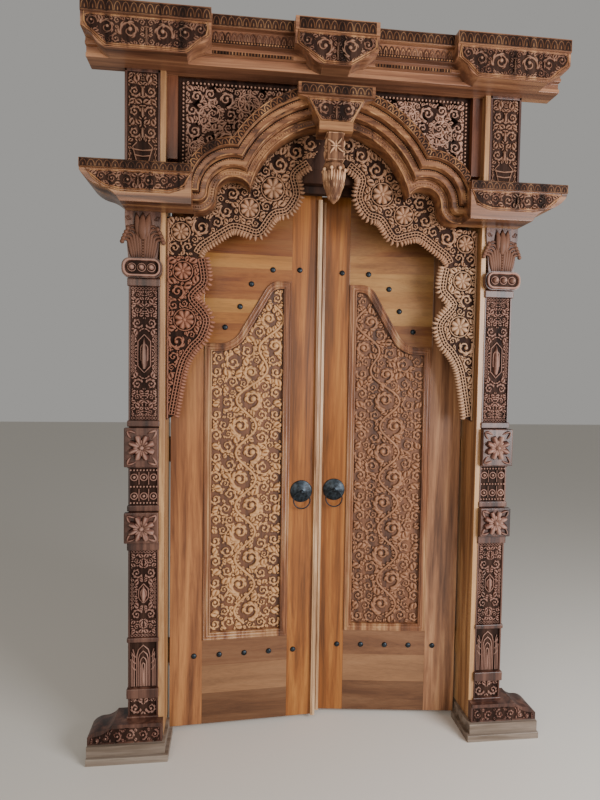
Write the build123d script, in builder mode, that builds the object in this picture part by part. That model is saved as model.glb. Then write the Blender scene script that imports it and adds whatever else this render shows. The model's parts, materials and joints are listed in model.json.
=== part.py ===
from build123d import *
import os
from math import atan, cos, degrees, hypot, radians, sin, sqrt

os.makedirs("parts", exist_ok=True)

# Carved teak doorway with a pair of leaves, in millimetres.
# X runs across the doorway, Y runs away from the viewer into the wall, Z is up.
# The origin is on the floor, at the middle of the whole doorway's plan.

# Overall form
opening_width = 1170         # between the faces of the two jambs
wing_overhang = 263          # jamb face to the outer end of a wing
hood_reach = 125             # how far wings, cornice breaks and keystone stand before the posts
jamb_depth = 165             # front of a post to the back of a jamb
post_depth = 70              # front of a post to the wall's face behind it

# Foot of each side
shoe_height = 25
plinth_height = 62
shoe_overhang = 23           # how far the shoe stands into the opening
shoe_reach = 55              # how far the shoe stands before the post
shoe_step = 12
plinth_return = 112          # how deep the shoe turns into the opening
base_height = 73
base_reach = 30
base_toe = 26                # height of the base's outer end above the plinth
base_shoulder = 46           # flat part of the base's top beyond the post
moulding_height = 12
moulding_reach = 8

# Post and its carved stages, from the base up
edge_width = 19              # front edge of a jamb, beside the post
lining_thickness = 40
post_width = 107
socle_height = 86
ledge_height = 27
tulip_height = 170
thin_band = 18
diamond_height = 318
wide_band = 32
lower_rosette_height = 110
bead_band = 25
beads_height = 133
bead_gap = 6
upper_rosette_height = 140
medallion_band = 27
hood_drop = 145              # the leaf's head above the underside of the wings
petal_height = 85
collar_height = 69
capital_height = 164
band_reach = 6
carve_depth = 8
rosette_block = 22
rosette_reach = 60
collar_width = 138
collar_reach = 36
capital_reach = 34

# Upper stage
wing_height = 132
crown_height = 30
crown_reach = 6              # how far a crown strip stands before the face under it
pilaster_width = 122
arch_clearance = 53          # crown of the arch to the underside of the cornice
cornice_height = 150
cornice_reach = 95
cornice_end = 5              # the cornice stops this much short of a wing's end
cornice_steps = ((14, 52), (22, 44), (12, 62), (14, 56), (12, 80), (36, 72))     # height and reach, upwards
break_root = 40              # where the cartouches are let into the cornice
break_inner = 425            # inner end of a side cartouche
break_toe = 80
break_rise = 62
break_crown = 44
centre_break = 145           # half of the middle cartouche
wing_inset = 98              # jamb face to the joint between wing and arch
wing_toe_share = 0.934       # part of the overhang beyond the post that the sloping toe takes
toe_rise = 95                # height of the outer end's lower corner above the underside

# Arch of the hood
shoulder_radius = 63         # hollow of the small shoulder at each side
shoulder_width = 102
shoulder_setback = 142       # from the joint with the wing to the shoulder's centre
cusp_inset = 50.5            # how far the two hollows run into each other at the cusp
arch_width = 114.5
arch_rise = 28               # centre of the great arc above the underside of the wings
arch_back = 30               # how far the arch reaches behind the post's front
arch_steps = ((0, 35), (30, 60), (58, 82), (85, 97))     # width given up and reach, each step

# Filigree
board_thickness = 25
bracket_drop = 740           # underside of the wings to the tip of the lower board
board_split = 140            # underside of the wings to the joint between the boards
fretwork_thickness = 18
backing_thickness = 8
board_lap = 50               # how far the boards run up behind the arch
fret_pitch_x = 60
fret_pitch_z = 50
fret_hole_x = 44
fret_hole_z = 36

# Transom and head
transom_stile = 37
transom_depth = 60
transom_rail_height = 41
transom_lift = 9             # underside of the cornice to the transom rail's underside
head_height = 50
stop_height = 25
stop_thickness = 30
stop_gap = 1.5

# Keystone and pendant
keystone_half = 133
keystone_waist = 54
keystone_height = 152
keystone_crown = 38
keystone_drop = 49.5         # how far the sill hangs below the arch's crown
sill_height = 30
sill_reach = 5
pendant_width = 60
pendant_post = 100           # square part of the pendant
pendant_bud = 140            # bud under it
bud_radius = 40

# Leaves
leaf_thickness = 40
hinge_gap = 5                # between a leaf and its jamb
meeting_gap = 8              # between the closed leaves
floor_gap = 15
head_gap = 5
leaf_height = 2090
hinge_stile_width = 124
meeting_stile_width = 116
bottom_rail_height = 335
panel_high = 1745            # top of the panel at the meeting side, above the leaf's foot
panel_low = 1498             # and at the hinge side
ogee_start = 85              # flat stretch before the sweep, at the meeting side
ogee_end = 108               # and at the hinge side
ogee_upper_radius = 70
ogee_lower_radius = 90
moulding_width = 30
moulding_proud = 6
panel_thickness = 22
panel_setback = 14
relief_height = 9
scroll_radius = 75
scroll_levels = (270, 600, 900)      # middles of the carved rings above the bottom rail
strip_width = 17
strip_proud = 12
left_ajar = 3.5              # how far each leaf stands open, in degrees
right_ajar = 6.8

# Ironwork
knuckle_radius = 7
hinge_seat = 0.3
hinge_height = 90
hinge_plate = 2
hinge_plate_width = 30
knuckle_gap = 1
pin_radius = 3.5
pin_bore = 4.5
pin_head = 4
lowest_hinge = 300           # middle of the lowest hinge above the floor
highest_hinge = 205          # middle of the highest hinge below the leaf's head
stud_radius = 11
stud_proud = 8
stud_setout = 93             # hinge edge to the first stud of the bottom row
stud_pitch = 98
stud_level = 275             # bottom row above the leaf's foot
stud_places = ((491, 1791), (385, 1787), (302, 1729), (259, 1641), (202, 1560))   # upper row: edge, foot
plate_radius = 44
plate_rim = 3
plate_crown = 13
pull_level = 918             # above the leaf's foot
pull_setout = 67             # meeting edge to the pull's centre
boss_half = 5
boss_reach = 28
eye_reach = 21
eye_radius = 3.2
ring_radius = 33
wire_radius = 2.5

# Places that follow from the sizes
opening_half = opening_width / 2
wing_reach = opening_half + wing_overhang
post_inner = opening_half + edge_width
post_outer = post_inner + post_width
post_x = (post_inner + post_outer) / 2
toe_start = wing_reach - wing_toe_share * (wing_reach - post_outer)
pilaster_outer = post_inner + pilaster_width
pilaster_x = (post_inner + pilaster_outer) / 2

pin_setback = knuckle_radius + hinge_seat
pin_x = opening_half - hinge_gap / 2
leaf_edge = opening_half - hinge_gap
meeting_edge = meeting_gap / 2
leaf_swing = pin_x - meeting_edge
leaf_rear = leaf_swing * sin(radians(right_ajar)) + pin_setback * (1 - cos(radians(right_ajar)))
face_y = (hood_reach - jamb_depth - leaf_rear) / 2
wall_y = face_y + post_depth
back_y = face_y + jamb_depth
leaf_y = back_y - leaf_thickness
pin_y = back_y + pin_setback

base_top = plinth_height + base_height
socle_top = base_top + socle_height
ledge_top = socle_top + ledge_height
tulip_top = ledge_top + tulip_height
diamond_bottom = tulip_top + thin_band
diamond_top = diamond_bottom + diamond_height
lower_rosette = diamond_top + wide_band
beads_bottom = lower_rosette + lower_rosette_height + bead_band
beads_top = beads_bottom + beads_height
upper_rosette = beads_top + bead_gap
medallion_bottom = upper_rosette + upper_rosette_height + medallion_band
leaf_foot = floor_gap
leaf_top = leaf_foot + leaf_height
wing_bottom = leaf_top - hood_drop
collar_top = wing_bottom - capital_height
collar_bottom = collar_top - collar_height
medallion_top = collar_bottom - petal_height
wing_top = wing_bottom + wing_height

wing_inner = opening_half - wing_inset
shoulder_x = wing_inner - shoulder_setback
shoulder_z = wing_bottom + shoulder_radius
arch_z = wing_bottom + arch_rise
arch_radius = shoulder_x - cusp_inset
arch_outer = arch_radius + arch_width
shoulder_outer = shoulder_radius + shoulder_width
cornice_bottom = arch_z + arch_outer + arch_clearance
frame_top = cornice_bottom + cornice_height
pilaster_height = cornice_bottom - wing_top
board_y = face_y + arch_back
board_joint = wing_bottom - board_split
bracket_tip = wing_bottom - bracket_drop

rail_top = leaf_foot + bottom_rail_height
hinge_top = leaf_top - highest_hinge
hinge_levels = (lowest_hinge, (lowest_hinge + hinge_top) / 2, hinge_top)
head_bottom = leaf_top + head_gap
head_top = head_bottom + head_height
transom_top = cornice_bottom + transom_lift
cornice_half = wing_reach - cornice_end
keystone_bottom = arch_z + arch_radius - keystone_drop
keystone_top = keystone_bottom + keystone_height
panel_hinge = leaf_edge - hinge_stile_width
panel_meeting = meeting_edge + meeting_stile_width
panel_x = (panel_hinge + panel_meeting) / 2

# Lobes of the free edges: centre, radius, first and last angle of the fringe, number of windows
spandrel_lobes = (
    (100, wing_bottom + 240, 60, 150, 290, 6),
    (200, wing_bottom + 60, 105, 145, 268, 8),
    (285, wing_bottom + 15, 100, 222, 292, 5),
    (390, wing_bottom, 97, 236, 292, 4),
)
bracket_lobes = (
    (opening_half - 65, board_joint - 55, 75, 140, 235, 5),
    (opening_half - 70, board_joint - 220, 80, 132, 215, 5),
    (opening_half - 25, board_joint - 495, 48, 130, 235, 4),
)


def upright(y):
    """The plane at depth y that faces the viewer, with X across and Z up."""
    return Plane.XZ.offset(-y)


def span(x0, y0, x1, y1, mode=Mode.ADD):
    """A rectangle between two corners, in the current sketch."""
    with Locations(((x0 + x1) / 2, (y0 + y1) / 2)):
        Rectangle(abs(x1 - x0), abs(y1 - y0), mode=mode)


def chip(length, width):
    """A pointed chisel cut that starts at the current place and runs along its X."""
    half = width / 2
    flank = 0.8 * half
    Polygon(
        (0, 0), (0.3 * length, half), (0.7 * length, flank), (length, 0),
        (0.7 * length, -flank), (0.3 * length, -half), align=None,
    )


def turned(x, z, angle):
    """A place in the current sketch, with its X turned by an angle."""
    return Locations(Location((x, z, 0), (0, 0, angle)))


def even(points):
    """A symmetric outline given by its right half, from the top down."""
    Polygon(*points, *[(-x, z) for x, z in reversed(points)], align=None)


def chips_at(places):
    """Chisel cuts at each (x, z, angle, length, width)."""
    for x, z, angle, length, width in places:
        with turned(x, z, angle):
            chip(length, width)


def mirrored_chips(x, z, quarter):
    """Chisel cuts about a centre, each repeated in all four quarters."""
    for dx, dz, angle, length, width in quarter:
        for turn, flip_x, flip_z in ((angle, 1, 1), (180 - angle, -1, 1), (-angle, 1, -1), (180 + angle, -1, -1)):
            with turned(x + flip_x * dx, z + flip_z * dz, turn):
                chip(length, width)


def flower(x, z, start, length, width, count):
    """A ring of chisel cuts that open outwards round a small hub."""
    with Locations((x, z)):
        with PolarLocations(0.16 * length, count, start):
            chip(length, width)


def leaf_shape(length, width):
    """A pointed leaf between two arcs, from the origin up."""
    with BuildSketch(mode=Mode.PRIVATE) as shape:
        with BuildLine():
            ThreePointArc((0, 0), (width / 2, length / 2), (0, length))
            ThreePointArc((0, length), (-width / 2, length / 2), (0, 0))
        make_face()
    return shape.sketch


def ogee(start, end, belly):
    """Two equal arcs that meet half way between two points; the belly is a share of the distance."""
    run, rise = end[0] - start[0], end[1] - start[1]
    side_x, side_z = -rise * belly, run * belly
    middle = (start[0] + run / 2, start[1] + rise / 2)
    ThreePointArc(start, (start[0] + run / 4 + side_x, start[1] + rise / 4 + side_z), middle)
    ThreePointArc(middle, (start[0] + run * 0.75 - side_x, start[1] + rise * 0.75 - side_z), end)


def boat_face(left, left_toe, right_toe, right, bottom, rise, top):
    """Front of a wing or break: a straight top, and ends that fall inwards in an ogee."""
    belly = 0.055
    shoulder = bottom + rise
    with BuildSketch(mode=Mode.PRIVATE) as front:
        with BuildLine():
            Line((left_toe, bottom), (right_toe, bottom))
            if right > right_toe:
                ogee((right_toe, bottom), (right, shoulder), belly)
                Line((right, shoulder), (right, top))
            else:
                Line((right, bottom), (right, top))
            Line((right, top), (left, top))
            if left < left_toe:
                Line((left, top), (left, shoulder))
                ogee((left, shoulder), (left_toe, bottom), belly)
            else:
                Line((left, top), (left, bottom))
        make_face()
    return front.sketch


def scallops(lobes):
    """Round lobes of a board's free edge, each with a fringe of pointed teeth."""
    for x, z, radius, first, last, count in lobes:
        with Locations((x, z)):
            Circle(radius)
        for step in range(count + 1):
            with turned(x, z, first + (last - first) * step / count):
                with Locations((radius - 2, 0)):
                    Polygon((0, -7), (10, 0), (0, 7), align=None)


def windows(lobes):
    """Openings in the lobes: a flower in each, and a row of slots inside its rim."""
    for x, z, radius, first, last, count in lobes:
        flower(x, z, first, 0.5 * radius, 0.24 * radius, 6)
        for step in range(count):
            with turned(x, z, first + (last - first) * (step + 0.5) / count):
                with Locations((0.8 * radius, 0)):
                    Rectangle(0.1 * radius, 11)


def panel_outline(inset):
    """The panel's opening with its ogee head, drawn inwards by an inset."""
    low = leaf_foot + panel_low
    high = leaf_foot + panel_high
    with BuildSketch(mode=Mode.PRIVATE) as outline:
        Polygon(
            (panel_meeting, rail_top), (panel_hinge, rail_top), (panel_hinge, low), (panel_hinge - ogee_end, low),
            (panel_meeting + ogee_start, high), (panel_meeting, high), align=None,
        )
        fillet(outline.vertices().sort_by_distance((panel_hinge - ogee_end, low, 0))[0], ogee_lower_radius)
        fillet(outline.vertices().sort_by_distance((panel_meeting + ogee_start, high, 0))[0], ogee_upper_radius)
        if inset:
            offset(amount=-inset, kind=Kind.INTERSECTION)
    return outline.sketch


def write(shape, name):
    """Labels a finished piece and writes it."""
    shape.label = name
    export_step(shape, f"parts/{name}.step")


def write_pair(shape, name):
    """Writes a right-hand piece of the frame and its mirror image."""
    write(shape, f"{name}_right")
    write(mirror(shape, about=Plane.YZ), f"{name}_left")


def write_leaf_pair(shape, name):
    """Hangs a closed right-hand piece and its mirror image on their pins, each leaf ajar."""
    write(shape.rotate(Axis((pin_x, pin_y, 0), (0, 0, 1)), -right_ajar), f"{name}_right")
    left = mirror(shape, about=Plane.YZ)
    write(left.rotate(Axis((-pin_x, pin_y, 0), (0, 0, 1)), left_ajar), f"{name}_left")


# Plinth: a board with a wider shoe, which turns into the opening and stops short of the leaf
with BuildPart() as plinth:
    for low, high, inset in ((0, shoe_height, 0), (shoe_height, plinth_height, shoe_step)):
        inner = opening_half - shoe_overhang + inset
        front = face_y - shoe_reach + inset
        with BuildSketch(Plane.XY.offset(low)):
            span(inner, front, wing_reach, wall_y)
            span(inner, front, opening_half + lining_thickness, face_y + plinth_return)
            span(opening_half, front, opening_half + lining_thickness, back_y)
        extrude(amount=high - low)
write_pair(plinth.part, "plinth")

# Base block: carved foot of the post, whose outer shoulder falls away in an ogee
with BuildPart() as base_block:
    base_flat = post_outer + base_shoulder
    with BuildSketch(upright(wall_y)):
        with BuildLine():
            Polyline((base_flat, base_top), (opening_half, base_top), (opening_half, plinth_height),
                     (wing_reach, plinth_height), (wing_reach, plinth_height + base_toe))
            ogee((wing_reach, plinth_height + base_toe), (base_flat, base_top), -0.06)
        make_face()
    extrude(amount=post_depth + base_reach)
    with BuildSketch(upright(face_y - base_reach)):
        span(opening_half, base_top - moulding_height, base_flat, base_top)
    extrude(amount=moulding_reach)
    with BuildSketch(Plane.XY.offset(plinth_height)):
        span(opening_half, face_y, post_inner, wall_y)
    extrude(amount=base_height, mode=Mode.SUBTRACT)
    carved_z = plinth_height + (base_height - moulding_height) / 2
    with BuildSketch(upright(face_y - base_reach)):
        for step in range(5):
            lean = 40 if step % 2 else -40
            for rise in (12, -12):
                with turned(opening_half + 10 + 34 * step, carved_z + rise, lean):
                    chip(30, 11)
    extrude(amount=-carve_depth, mode=Mode.SUBTRACT)
write_pair(base_block.part, "base_block")

# Jamb: lining of the wall opening, stepped so that the post beds in its front corner
with BuildPart() as jamb:
    with BuildSketch(Plane.XY.offset(plinth_height)):
        span(opening_half, face_y, post_inner, back_y)
        span(opening_half, wall_y, opening_half + lining_thickness, back_y)
    extrude(amount=cornice_bottom - plinth_height)
write_pair(jamb.part, "jamb")

# Column: the post, carved in stages between bands
with BuildPart() as column:
    with BuildSketch(Plane.XY.offset(base_top)):
        span(post_inner, face_y, post_outer, wall_y)
    extrude(amount=wing_top - base_top)
    with BuildSketch(upright(face_y)):
        span(post_inner, base_top, post_outer, socle_top)
        span(post_inner, tulip_top, post_outer, diamond_bottom)
        span(post_inner, diamond_top, post_outer, diamond_top + wide_band - bead_gap)
        span(post_inner, beads_bottom - bead_band + bead_gap, post_outer, beads_bottom)
        span(post_inner, medallion_bottom - medallion_band + bead_gap, post_outer, medallion_bottom)
        span(post_inner, medallion_top, post_outer, medallion_top + thin_band)
    extrude(amount=band_reach)
    with BuildSketch(upright(face_y)):
        span(post_inner - band_reach / 2, socle_top, post_outer + band_reach, ledge_top)
    extrude(amount=2 * band_reach)
    with BuildSketch(upright(face_y)):
        for height, half_width, half_height in (
            ((diamond_bottom + diamond_top) / 2, 17, 36),
            ((medallion_bottom + medallion_top) / 2, 23, 68),
        ):
            tip = half_height if half_height < 2.5 * half_width else 0.62 * half_height
            with Locations((post_x, height)):
                Polygon((0, -half_height), (half_width, -half_height + tip), (half_width, half_height - tip),
                        (0, half_height), (-half_width, half_height - tip), (-half_width, -half_height + tip))
        for shift in (-32, 0, 32):
            with Locations((post_x + shift, ledge_top + 12)):
                add(leaf_shape(tulip_height - 60 - abs(shift), 30))
    extrude(amount=band_reach - 1)
    with BuildSketch(upright(face_y)):
        for row in (0.25, 0.75):
            for shift in (-34, 0, 34):
                with Locations((post_x + shift, beads_bottom + row * beads_height)):
                    RegularPolygon(14, 8)
        for step in range(5):
            with Locations((post_x + 20 * (step - 2), medallion_top + petal_height * 0.6)):
                RegularPolygon(9, 4, rotation=45)
    extrude(amount=band_reach, taper=30)
    with BuildSketch(upright(face_y)):
        mirrored_chips(post_x, (medallion_bottom + medallion_top) / 2, (
            (6, 92, 62, 34, 13), (24, 78, 75, 40, 13), (34, 36, 80, 36, 11),
            (14, 140, 25, 34, 13), (10, 166, 55, 34, 13),
        ))
        mirrored_chips(post_x, (diamond_bottom + diamond_top) / 2, (
            (8, 50, 55, 36, 13), (26, 30, 70, 36, 12), (12, 98, 20, 34, 13), (10, 118, 60, 32, 13),
        ))
    extrude(amount=-carve_depth, mode=Mode.SUBTRACT)
    with BuildSketch(upright(face_y - band_reach)):
        mirrored_chips(post_x, (base_top + socle_top) / 2, ((8, 6, 40, 36, 14),))
    extrude(amount=-carve_depth, mode=Mode.SUBTRACT)
write_pair(column.part, "column")

# Rosette blocks: two square blocks on each post, with an open flower
with BuildPart() as rosettes:
    for bottom, height in ((lower_rosette, lower_rosette_height), (upper_rosette, upper_rosette_height)):
        middle = bottom + height / 2
        with BuildSketch(upright(face_y)):
            span(post_inner - 1, bottom, post_outer + 12, bottom + height)
        extrude(amount=rosette_block)
        with BuildSketch(upright(face_y - rosette_block)):
            with Locations((post_x + 5, middle)):
                with PolarLocations(0, 8):
                    add(leaf_shape(50, 26))
        extrude(amount=16)
        with BuildSketch(upright(face_y - rosette_block)):
            with Locations((post_x + 5, middle)):
                RegularPolygon(20, 10)
        extrude(amount=rosette_reach - rosette_block, taper=18)
write_pair(rosettes.part, "rosettes")

# Collar: a rounded block round the post with three beads in a sunk field
with BuildPart() as collar:
    with BuildSketch(upright(face_y)):
        with Locations((post_x + 5, collar_bottom + collar_height / 2)):
            RectangleRounded(collar_width, collar_height, 26)
    extrude(amount=collar_reach)
    with BuildSketch(upright(face_y - collar_reach)):
        with Locations((post_x + 5, collar_bottom + collar_height / 2)):
            RectangleRounded(collar_width - 26, collar_height - 26, 16)
    extrude(amount=-12, mode=Mode.SUBTRACT)
    with BuildSketch(upright(face_y - collar_reach + 12)):
        for shift in (-34, 0, 34):
            with Locations((post_x + 5 + shift, collar_bottom + collar_height / 2)):
                RegularPolygon(15, 8)
    extrude(amount=10, taper=25)
write_pair(collar.part, "collar")

# Capital: a fan of long leaves that opens upwards under the wing
with BuildPart() as capital:
    half_top = collar_width / 2 - 4
    half_bottom = post_width / 2 - 3
    with BuildSketch(upright(face_y)):
        with Locations((post_x + 5, 0)):
            Polygon((-half_bottom, collar_top), (half_bottom, collar_top), (half_top, wing_bottom - 40),
                    (half_top, wing_bottom), (-half_top, wing_bottom), (-half_top, wing_bottom - 40), align=None)
    extrude(amount=capital_reach / 2)
    with BuildSketch(upright(face_y - capital_reach / 2)):
        for shift, lean in ((-36, 9), (-18, 4), (18, -4), (36, -9)):
            with turned(post_x + 5 + shift, collar_top + 4, lean):
                add(leaf_shape(capital_height - 22, 26))
    extrude(amount=capital_reach / 3)
    with BuildSketch(upright(face_y - capital_reach / 2)):
        with Locations((post_x + 5, collar_top)):
            add(leaf_shape(capital_height - 6, 44))
    extrude(amount=capital_reach / 2)
write_pair(capital.part, "capital")

# Pilaster: short carved post between wing and cornice
with BuildPart() as pilaster:
    with BuildSketch(Plane.XY.offset(wing_top)):
        span(post_inner, face_y, pilaster_outer, wall_y)
    extrude(amount=pilaster_height)
    with BuildSketch(upright(face_y)):
        for row in range(4):
            level = wing_top + 70 + row * (pilaster_height - 90) / 4
            for turn in (35, 145, -35, -145):
                with turned(pilaster_x, level + 20, turn):
                    with Locations((10, 0)):
                        chip(42, 15)
    extrude(amount=-carve_depth, mode=Mode.SUBTRACT)
write_pair(pilaster.part, "pilaster")

# Wing: boat-shaped shelf that reaches outwards from the foot of the arch
with BuildPart() as wing:
    wing_front = face_y - hood_reach + crown_reach
    with BuildSketch(upright(face_y)):
        add(boat_face(wing_inner, wing_inner, toe_start, wing_reach, wing_bottom, toe_rise, wing_top))
    extrude(amount=hood_reach - crown_reach)
    with BuildSketch(upright(wall_y)):
        add(boat_face(post_outer, post_outer, toe_start, wing_reach, wing_bottom, toe_rise, wing_top))
    extrude(amount=post_depth)
    with BuildSketch(upright(wing_front)):
        span(wing_inner, wing_top - crown_height, wing_reach, wing_top)
    extrude(amount=crown_reach)
    with BuildSketch(upright(wing_front)):
        for step in range(7):
            offset_x = step - 3
            with turned(wing_inner + 150 + 38 * offset_x, wing_bottom + 52, 90 - 14 * offset_x):
                chip(44 - 3 * abs(offset_x), 15)
    extrude(amount=-carve_depth, mode=Mode.SUBTRACT)
write_pair(wing.part, "wing")

# Arch: half of the ogee hood, stepped forwards towards its outer edge
with BuildPart() as arch:
    reached = -arch_back
    for give, reach in arch_steps:
        foot = shoulder_radius - give
        with BuildSketch(upright(face_y - reached)):
            with Locations((0, arch_z)):
                Circle(arch_outer)
            with Locations((shoulder_x, shoulder_z)):
                Circle(shoulder_outer)
            with Locations((0, arch_z)):
                Circle(arch_radius + give, mode=Mode.SUBTRACT)
            with Locations((shoulder_x, shoulder_z)):
                Circle(shoulder_radius + give, mode=Mode.SUBTRACT)
            span(-arch_outer, 0, wing_reach, shoulder_z, mode=Mode.SUBTRACT)
            span(-arch_outer, 0, 0, frame_top, mode=Mode.SUBTRACT)
            span(wing_inner, 0, wing_reach, frame_top, mode=Mode.SUBTRACT)
            if foot > 0:
                foot_x = shoulder_x + 2 * shoulder_radius
                with BuildLine():
                    slant = foot * sqrt(0.5)
                    ThreePointArc(
                        (foot_x - foot, shoulder_z), (foot_x - slant, shoulder_z - slant), (foot_x, shoulder_z - foot),
                    )
                    Polyline(
                        (foot_x, shoulder_z - foot), (wing_inner, shoulder_z - foot), (wing_inner, shoulder_z),
                        (foot_x - foot, shoulder_z),
                    )
                make_face()
        extrude(amount=reach - reached)
        reached = reach
write_pair(arch.part, "arch")

# Keystone: cartouche over the arch's crown, on a sill that holds the pendant
with BuildPart() as keystone:
    with BuildSketch(upright(face_y - arch_steps[0][1])):
        even((
            (keystone_half, keystone_top), (keystone_half, keystone_top - keystone_crown),
            (keystone_half - 33, keystone_top - keystone_crown - 7), (keystone_waist, keystone_bottom + sill_height),
            (keystone_waist + sill_reach, keystone_bottom + sill_height),
            (keystone_waist + sill_reach, keystone_bottom),
        ))
    extrude(amount=hood_reach - 2 * crown_reach - arch_steps[0][1])
    with BuildSketch(upright(face_y - hood_reach + 2 * crown_reach)):
        span(-keystone_half, keystone_top - keystone_crown, keystone_half, keystone_top)
        sill_half = keystone_waist + sill_reach
        span(-sill_half, keystone_bottom, sill_half, keystone_bottom + sill_height)
    extrude(amount=crown_reach)
    with BuildSketch(upright(face_y - hood_reach + crown_reach)):
        span(-keystone_half, keystone_top - keystone_crown, keystone_half, keystone_top)
    extrude(amount=crown_reach)
    with BuildSketch(upright(face_y - hood_reach + 2 * crown_reach)):
        for turn in (30, 60, 90, 120, 150):
            with turned(0, keystone_bottom + sill_height + 6, turn):
                with Locations((12, 0)):
                    chip(40, 11)
    extrude(amount=-carve_depth, mode=Mode.SUBTRACT)
    add(arch.part, mode=Mode.SUBTRACT)
    add(mirror(arch.part, about=Plane.YZ), mode=Mode.SUBTRACT)
write(keystone.part, "keystone")

# Pendant: square carved drop that ends in a bud
with BuildPart() as pendant:
    pendant_y = face_y - hood_reach + crown_reach + pendant_width / 2 + 4
    bud_top = keystone_bottom - pendant_post
    with BuildSketch(Plane.XY.offset(bud_top)):
        with Locations((0, pendant_y)):
            Rectangle(pendant_width, pendant_width)
    extrude(amount=pendant_post)
    bud_levels = ((0, 0.75), (12, 0.98), (24, 0.8), (52, 1), (pendant_bud - 28, 0.6), (pendant_bud, 0.12))
    bud_half = bud_radius * cos(radians(22.5))
    for (drop, share), (next_drop, next_share) in zip(bud_levels, bud_levels[1:]):
        with BuildSketch(Plane.XY.offset(bud_top - next_drop)):
            with Locations((0, pendant_y)):
                RegularPolygon(bud_radius * next_share, 8, rotation=22.5)
        slope = degrees(atan((next_share - share) * bud_half / (next_drop - drop)))
        extrude(amount=next_drop - drop, taper=slope)
    with BuildSketch(upright(pendant_y - pendant_width / 2)):
        mirrored_chips(0, bud_top + pendant_post / 2, ((3, 4, 52, 44, 15),))
    extrude(amount=-carve_depth, mode=Mode.SUBTRACT)
write(pendant.part, "pendant")

# Cornice: one long stepped moulding across the whole top
with BuildPart() as cornice:
    with BuildSketch(Plane.YZ.offset(-cornice_half)):
        level = cornice_bottom
        for height, reach in cornice_steps:
            span(face_y - reach, level, face_y + arch_back, level + height)
            level += height
        span(face_y - cornice_reach, level, face_y + arch_back, frame_top)
    extrude(amount=2 * cornice_half)
write(cornice.part, "cornice")

# Cornice breaks: three cartouches that stand before the cornice
for name, left, left_toe, right_toe, right in (
    ("cornice_break_left", -cornice_half, -cornice_half + break_toe, -break_inner - break_toe, -break_inner),
    ("cornice_break_centre", -centre_break, -centre_break / 3, centre_break / 3, centre_break),
    ("cornice_break_right", break_inner, break_inner + break_toe, cornice_half - break_toe, cornice_half),
):
    with BuildPart() as cornice_break:
        with BuildSketch(upright(face_y - break_root)):
            add(boat_face(left, left_toe, right_toe, right, cornice_bottom, break_rise, frame_top))
        extrude(amount=hood_reach - crown_reach - break_root)
        with BuildSketch(upright(face_y - hood_reach + crown_reach)):
            span(left, frame_top - break_crown, right, frame_top)
        extrude(amount=crown_reach)
        with BuildSketch(upright(face_y - hood_reach + crown_reach)):
            for step in range(-3, 4):
                reach = (right_toe - left_toe) / 7
                with turned((left + right) / 2 + reach * step, cornice_bottom + 32, 90 - 14 * step):
                    chip(50 - 4 * abs(step), min(15, 0.5 * reach))
        extrude(amount=-carve_depth, mode=Mode.SUBTRACT)
        add(cornice.part, mode=Mode.SUBTRACT)
    write(cornice_break.part, name)

# Transom frame: a rail behind the cornice and a stile on each jamb
with BuildPart() as transom_rail:
    with BuildSketch(upright(board_y)):
        span(-opening_half, transom_top, opening_half, transom_top + transom_rail_height)
    extrude(amount=-transom_depth)
write(transom_rail.part, "transom_rail")

with BuildPart() as transom_side:
    with BuildSketch(upright(board_y)):
        span(opening_half - transom_stile, head_top, opening_half, transom_top)
    extrude(amount=-transom_depth)
write_pair(transom_side.part, "transom_stile")

# Door head: the beam over the leaves, with a stop batten under it
with BuildPart() as door_head:
    with BuildSketch(upright(back_y)):
        span(-opening_half, head_bottom, opening_half, head_top)
    extrude(amount=jamb_depth - arch_back - board_thickness)
    with BuildSketch(upright(leaf_y - stop_gap)):
        span(-opening_half, head_bottom - stop_height, opening_half, head_bottom)
    extrude(amount=stop_thickness)
write(door_head.part, "door_head")

# Transom fretwork: a board pierced by diamonds wherever the arch leaves it in sight
with BuildPart() as fretwork:
    fret_half = opening_half - transom_stile
    with BuildSketch(upright(board_y + board_thickness)):
        span(-fret_half, head_top, fret_half, transom_top)
        columns = int(fret_half / fret_pitch_x)
        rows = int((transom_top - head_top) / fret_pitch_z)
        for column_step in range(-columns, columns + 1):
            for row in range(rows):
                hole_x = column_step * fret_pitch_x
                hole_z = head_top + (row + 0.5) * (transom_top - head_top) / rows
                near_arch = hypot(hole_x, hole_z - arch_z) < arch_outer + fret_pitch_z / 2
                from_shoulder = hypot(abs(hole_x) - shoulder_x, hole_z - shoulder_z)
                near_shoulder = from_shoulder < shoulder_outer + fret_pitch_z / 2
                if abs(hole_x) < fret_half - fret_pitch_x / 2 and not near_arch and not near_shoulder:
                    with Locations((hole_x, hole_z)):
                        Polygon(
                            (fret_hole_x / 2, 0), (0, fret_hole_z / 2), (-fret_hole_x / 2, 0), (0, -fret_hole_z / 2),
                            mode=Mode.SUBTRACT,
                        )
    extrude(amount=-fretwork_thickness)
write(fretwork.part, "transom_fretwork")

# Transom backing: the plain board that closes the transom frame behind the fretwork
with BuildPart() as transom_backing:
    with BuildSketch(upright(board_y + transom_depth)):
        span(-fret_half, head_top, fret_half, transom_top)
    extrude(amount=backing_thickness)
write(transom_backing.part, "transom_backing")

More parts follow.
